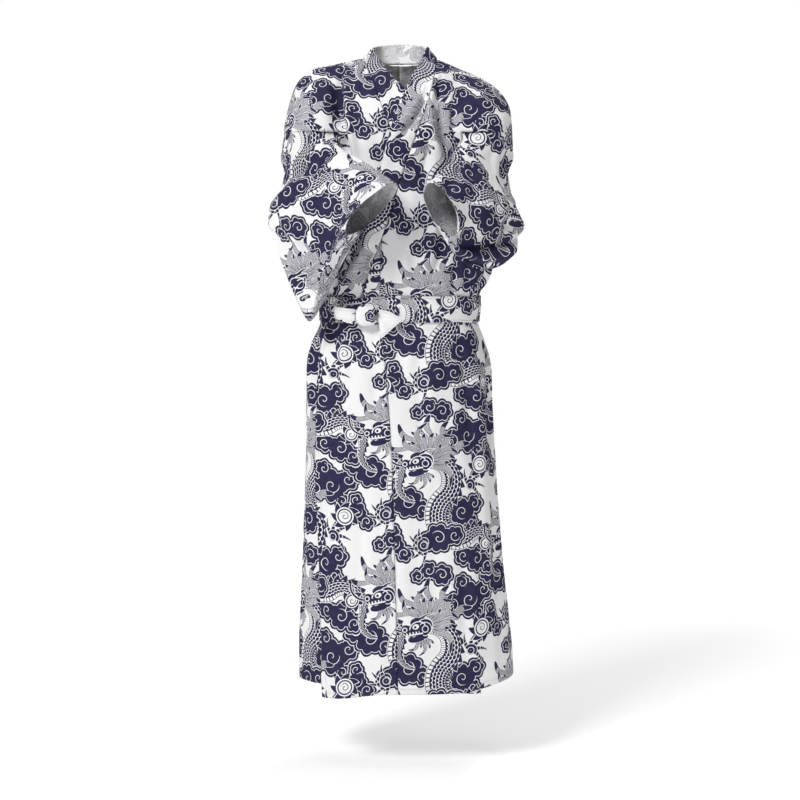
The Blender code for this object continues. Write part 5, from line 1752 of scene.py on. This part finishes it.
def add_cloth(context, name, node, sheets, flip, sewn, stitching=1.0, creases=None, pinned=None,
              wall=None):
    """Make a piece of cloth from its sheets: mark its sewing, press its creases, give it its wall
    and its two sides, and put it in the scene in place of its node. Sewn is its hems, seams and
    bare folds."""
    settings = context.scene.robe_cloth
    data = sheet_mesh(name, sheets, flip)
    mark_sewing(data, *sewn, stitching)
    if creases:
        press(data, creases, settings.creasing, settings.slack, pinned)
    for material in fabrics(context):
        data.materials.append(material)
    piece = link_piece(context, data, node)
    shell = piece.modifiers.new("Wall", "SOLIDIFY")
    shell.thickness = wall or settings.thickness
    shell.offset = 0.0
    shell.material_offset = 1


class RobeOperator:
    """Settings that every step of the robe shares."""

    bl_options = {"REGISTER", "UNDO"}


class ROBE_OT_bodies(RobeOperator, bpy.types.Operator):
    """Make the robe's left and right bodies, front and back in one piece each."""

    bl_idname = "robe.bodies"
    bl_label = "Make the bodies"

    def execute(self, context):
        for side, word in SIDES:
            sheets = body(side)
            ahead, behind = sheets[0][0], sheets[1][0]
            add_cloth(context, "cloth_body_" + word, "body_" + word, sheets, side == RIGHT,
                      ([ahead[0], behind[0]], [ahead[:, -1]], []), creases=TORSO_CREASES,
                      pinned=armhole(side))
        return {"FINISHED"}


class ROBE_OT_gores(RobeOperator, bpy.types.Operator):
    """Make the two front gores, the outer one on the wearer's left."""

    bl_idname = "robe.gores"
    bl_label = "Make the front gores"

    def execute(self, context):
        for side, word in SIDES:
            sheets = gore(side)
            lower = sheets[0][0]
            add_cloth(context, "cloth_gore_" + word, "gore_" + word, sheets, side == LEFT,
                      ([lower[0], lower[:, -1]], [], []), creases=TORSO_CREASES)
        return {"FINISHED"}


class ROBE_OT_collar(RobeOperator, bpy.types.Operator):
    """Make the collar, one long folded band."""

    bl_idname = "robe.collar"
    bl_label = "Make the collar"

    def execute(self, context):
        sheets = collar()
        free_edge = sheets[0][0][:, -1]
        add_cloth(context, "cloth_collar", "collar", sheets, False, ([], [], [free_edge]),
                  creases=TORSO_CREASES,
                  wall=COLLAR_WALL)
        return {"FINISHED"}


class ROBE_OT_sleeves(RobeOperator, bpy.types.Operator):
    """Make the two sleeves, round the folded arms and down to their bags."""

    bl_idname = "robe.sleeves"
    bl_label = "Make the sleeves"

    def execute(self, context):
        for side, word in SIDES:
            sheets = sleeve(side)
            tube = sheets[0][0]
            add_cloth(context, "cloth_sleeve_" + word, "sleeve_" + word, sheets, side == LEFT,
                      ([tube[-1]], [tube[:, 0]], []), creases=SLEEVE_CREASES[side],
                      pinned=tube[0])
        return {"FINISHED"}


class ROBE_OT_belt(RobeOperator, bpy.types.Operator):
    """Make the belt, its knot, its loop and its free end."""

    bl_idname = "robe.belt"
    bl_label = "Make the belt"

    def execute(self, context):
        sheets = belt_band()
        band = sheets[0][0]
        add_cloth(context, "cloth_belt", "belt_band", sheets, False,
                  ([band[0], band[-1]], [], []), BELT_STITCHING,
                  wall=BELT_CLOTH)
        knot = sheet_mesh("cloth_belt_knot", belt_knot(), False)
        mark_sewing(knot, [], [], [])
        knot.materials.append(fabrics(context)[0])
        link_piece(context, knot, "belt_knot")
        sheets = belt_loop()
        loop = sheets[0][0]
        add_cloth(context, "cloth_belt_loop", "belt_loop", sheets, True,
                  ([loop[0], loop[-1]], [], []), BELT_STITCHING, wall=BELT_CLOTH)
        sheets = belt_tail()
        tail = sheets[0][0]
        add_cloth(context, "cloth_belt_tail", "belt_tail", sheets, False,
                  ([tail[0], tail[-1], tail[:, -1]], [], [tail[:, 0]]), BELT_STITCHING,
                  wall=BELT_CLOTH)
        return {"FINISHED"}


def studio_paint(name, shade, glow, reach):
    """A matt white that glows as a lit paper sweep does, by one strength at its middle and
    another from most of its reach outward: the share of the way between them is the fourth power
    of the distance from the middle."""
    material = bpy.data.materials.new(name)
    tree, shader = nodes_of(material)
    pen = Pen(tree)
    place = tree.nodes.new("ShaderNodeTexCoord")
    axes = add_node(tree, "SeparateXYZ", {"Vector": place.outputs["Object"]})
    x, y = Amount(pen, axes.outputs[0]), Amount(pen, axes.outputs[1])
    share = pen.low((x * x + y * y) * (1 / (GLOW_REACH * reach) ** 2), 1.0)
    strength = share * share * (glow[1] - glow[0]) + glow[0]
    tree.links.new(strength.socket, shader.inputs["Emission Strength"])
    shader.inputs["Base Color"].default_value = (shade, shade, shade, 1)
    shader.inputs["Roughness"].default_value = 0.9
    shader.inputs["Specular IOR Level"].default_value = 0.0
    shader.inputs["Emission Color"].default_value = (1, 1, 1, 1)
    return material


def add_scenery(context, name, grid, flip, paint):
    """Put a painted surface of the studio in the scene."""
    data = sheet_mesh(name, [(grid, np.zeros(2))], flip)
    data.materials.append(paint)
    piece = bpy.data.objects.new(name, data)
    context.scene.collection.objects.link(piece)
    return piece


def add_light(context, name, place, aim, size, energy):
    """A soft rectangular light that faces a point."""
    light = bpy.data.lights.new(name, "AREA")
    light.shape = "RECTANGLE"
    light.size, light.size_y = size
    light.energy = energy
    lamp = bpy.data.objects.new(name, light)
    context.scene.collection.objects.link(lamp)
    lamp.location = place
    way = np.array(aim) - np.array(place)
    lamp.rotation_euler = (np.arctan2(np.hypot(way[0], way[1]), -way[2]), 0,
                           np.arctan2(way[1], way[0]) - np.pi / 2)


class ROBE_OT_stage(RobeOperator, bpy.types.Operator):
    """Make the pale floor, the white room, the soft lights and the camera."""

    bl_idname = "robe.stage"
    bl_label = "Make the studio"

    def execute(self, context):
        settings = context.scene.robe_stage
        # The floor is a disc of rings about the middle, the room a ball of them.
        turn = np.linspace(0, 2 * np.pi, STUDIO_COLUMNS)
        reach = np.linspace(0, FLOOR_REACH, STUDIO_ROWS)[:, None]
        disc_grid = points(reach * np.cos(turn), reach * np.sin(turn), settings.floor_height)
        add_scenery(context, "studio_floor", disc_grid, False,
                    studio_paint("studio_floor_white", 0.90, FLOOR_GLOW, FLOOR_REACH))
        rise = np.linspace(-np.pi / 2, np.pi / 2, STUDIO_ROWS)[:, None]
        level = ROOM * np.cos(rise)
        ball_grid = points(level * np.cos(turn), level * np.sin(turn), ROOM * np.sin(rise))
        room = add_scenery(context, "studio_room", ball_grid, True,
                           studio_paint("studio_room_white", 0.0, (1.0, 1.0), ROOM))
        for kind in ("diffuse", "glossy", "transmission", "shadow"):
            setattr(room, "visible_" + kind, False)
        for light in LIGHTS:
            add_light(context, *light)
        world = bpy.data.worlds.new("studio")
        context.scene.world = world
        world.use_nodes = True
        background = world.node_tree.nodes["Background"]
        background.inputs["Color"].default_value = (1, 1, 1, 1)
        background.inputs["Strength"].default_value = WORLD_LIGHT
        camera = bpy.data.objects.new("camera", bpy.data.cameras.new("camera"))
        context.scene.collection.objects.link(camera)
        camera.data.lens = settings.lens
        camera.data.sensor_width = 36
        camera.location = (0, -settings.distance, settings.camera_height)
        camera.rotation_euler = (np.pi / 2 - settings.tilt, 0, 0)
        context.scene.camera = camera
        context.scene.view_settings.view_transform = "Standard"
        return {"FINISHED"}


class ROBE_PT_panel(bpy.types.Panel):
    """The robe's steps and sizes in the sidebar."""

    bl_label = "Robe"
    bl_idname = "ROBE_PT_panel"
    bl_space_type = "VIEW_3D"
    bl_region_type = "UI"
    bl_category = "Robe"

    def draw(self, context):
        for group, kind in SETTINGS.items():
            box = self.layout.box()
            for name in kind.__annotations__:
                box.prop(getattr(context.scene, group), name)
        for step in STEPS:
            self.layout.operator(step.bl_idname)


SETTINGS = {"robe_cloth": RobeCloth, "robe_print": RobePrint, "robe_stage": RobeStage}
STEPS = (ROBE_OT_bodies, ROBE_OT_gores, ROBE_OT_collar, ROBE_OT_sleeves, ROBE_OT_belt,
         ROBE_OT_stage)


def register():
    """Add the settings, the steps and the panel to Blender."""
    for name, group in SETTINGS.items():
        bpy.utils.register_class(group)
        setattr(bpy.types.Scene, name, PointerProperty(type=group))
    for kind in (*STEPS, ROBE_PT_panel):
        bpy.utils.register_class(kind)


def unregister():
    """Take them out again."""
    for kind in reversed((*STEPS, ROBE_PT_panel)):
        bpy.utils.unregister_class(kind)
    for name, group in SETTINGS.items():
        delattr(bpy.types.Scene, name)
        bpy.utils.unregister_class(group)


def main():
    """Make every piece in order."""
    register()
    bpy.ops.robe.bodies()
    bpy.ops.robe.gores()
    bpy.ops.robe.collar()
    bpy.ops.robe.sleeves()
    bpy.ops.robe.belt()
    bpy.ops.robe.stage()


if __name__ == "__main__":
    main()
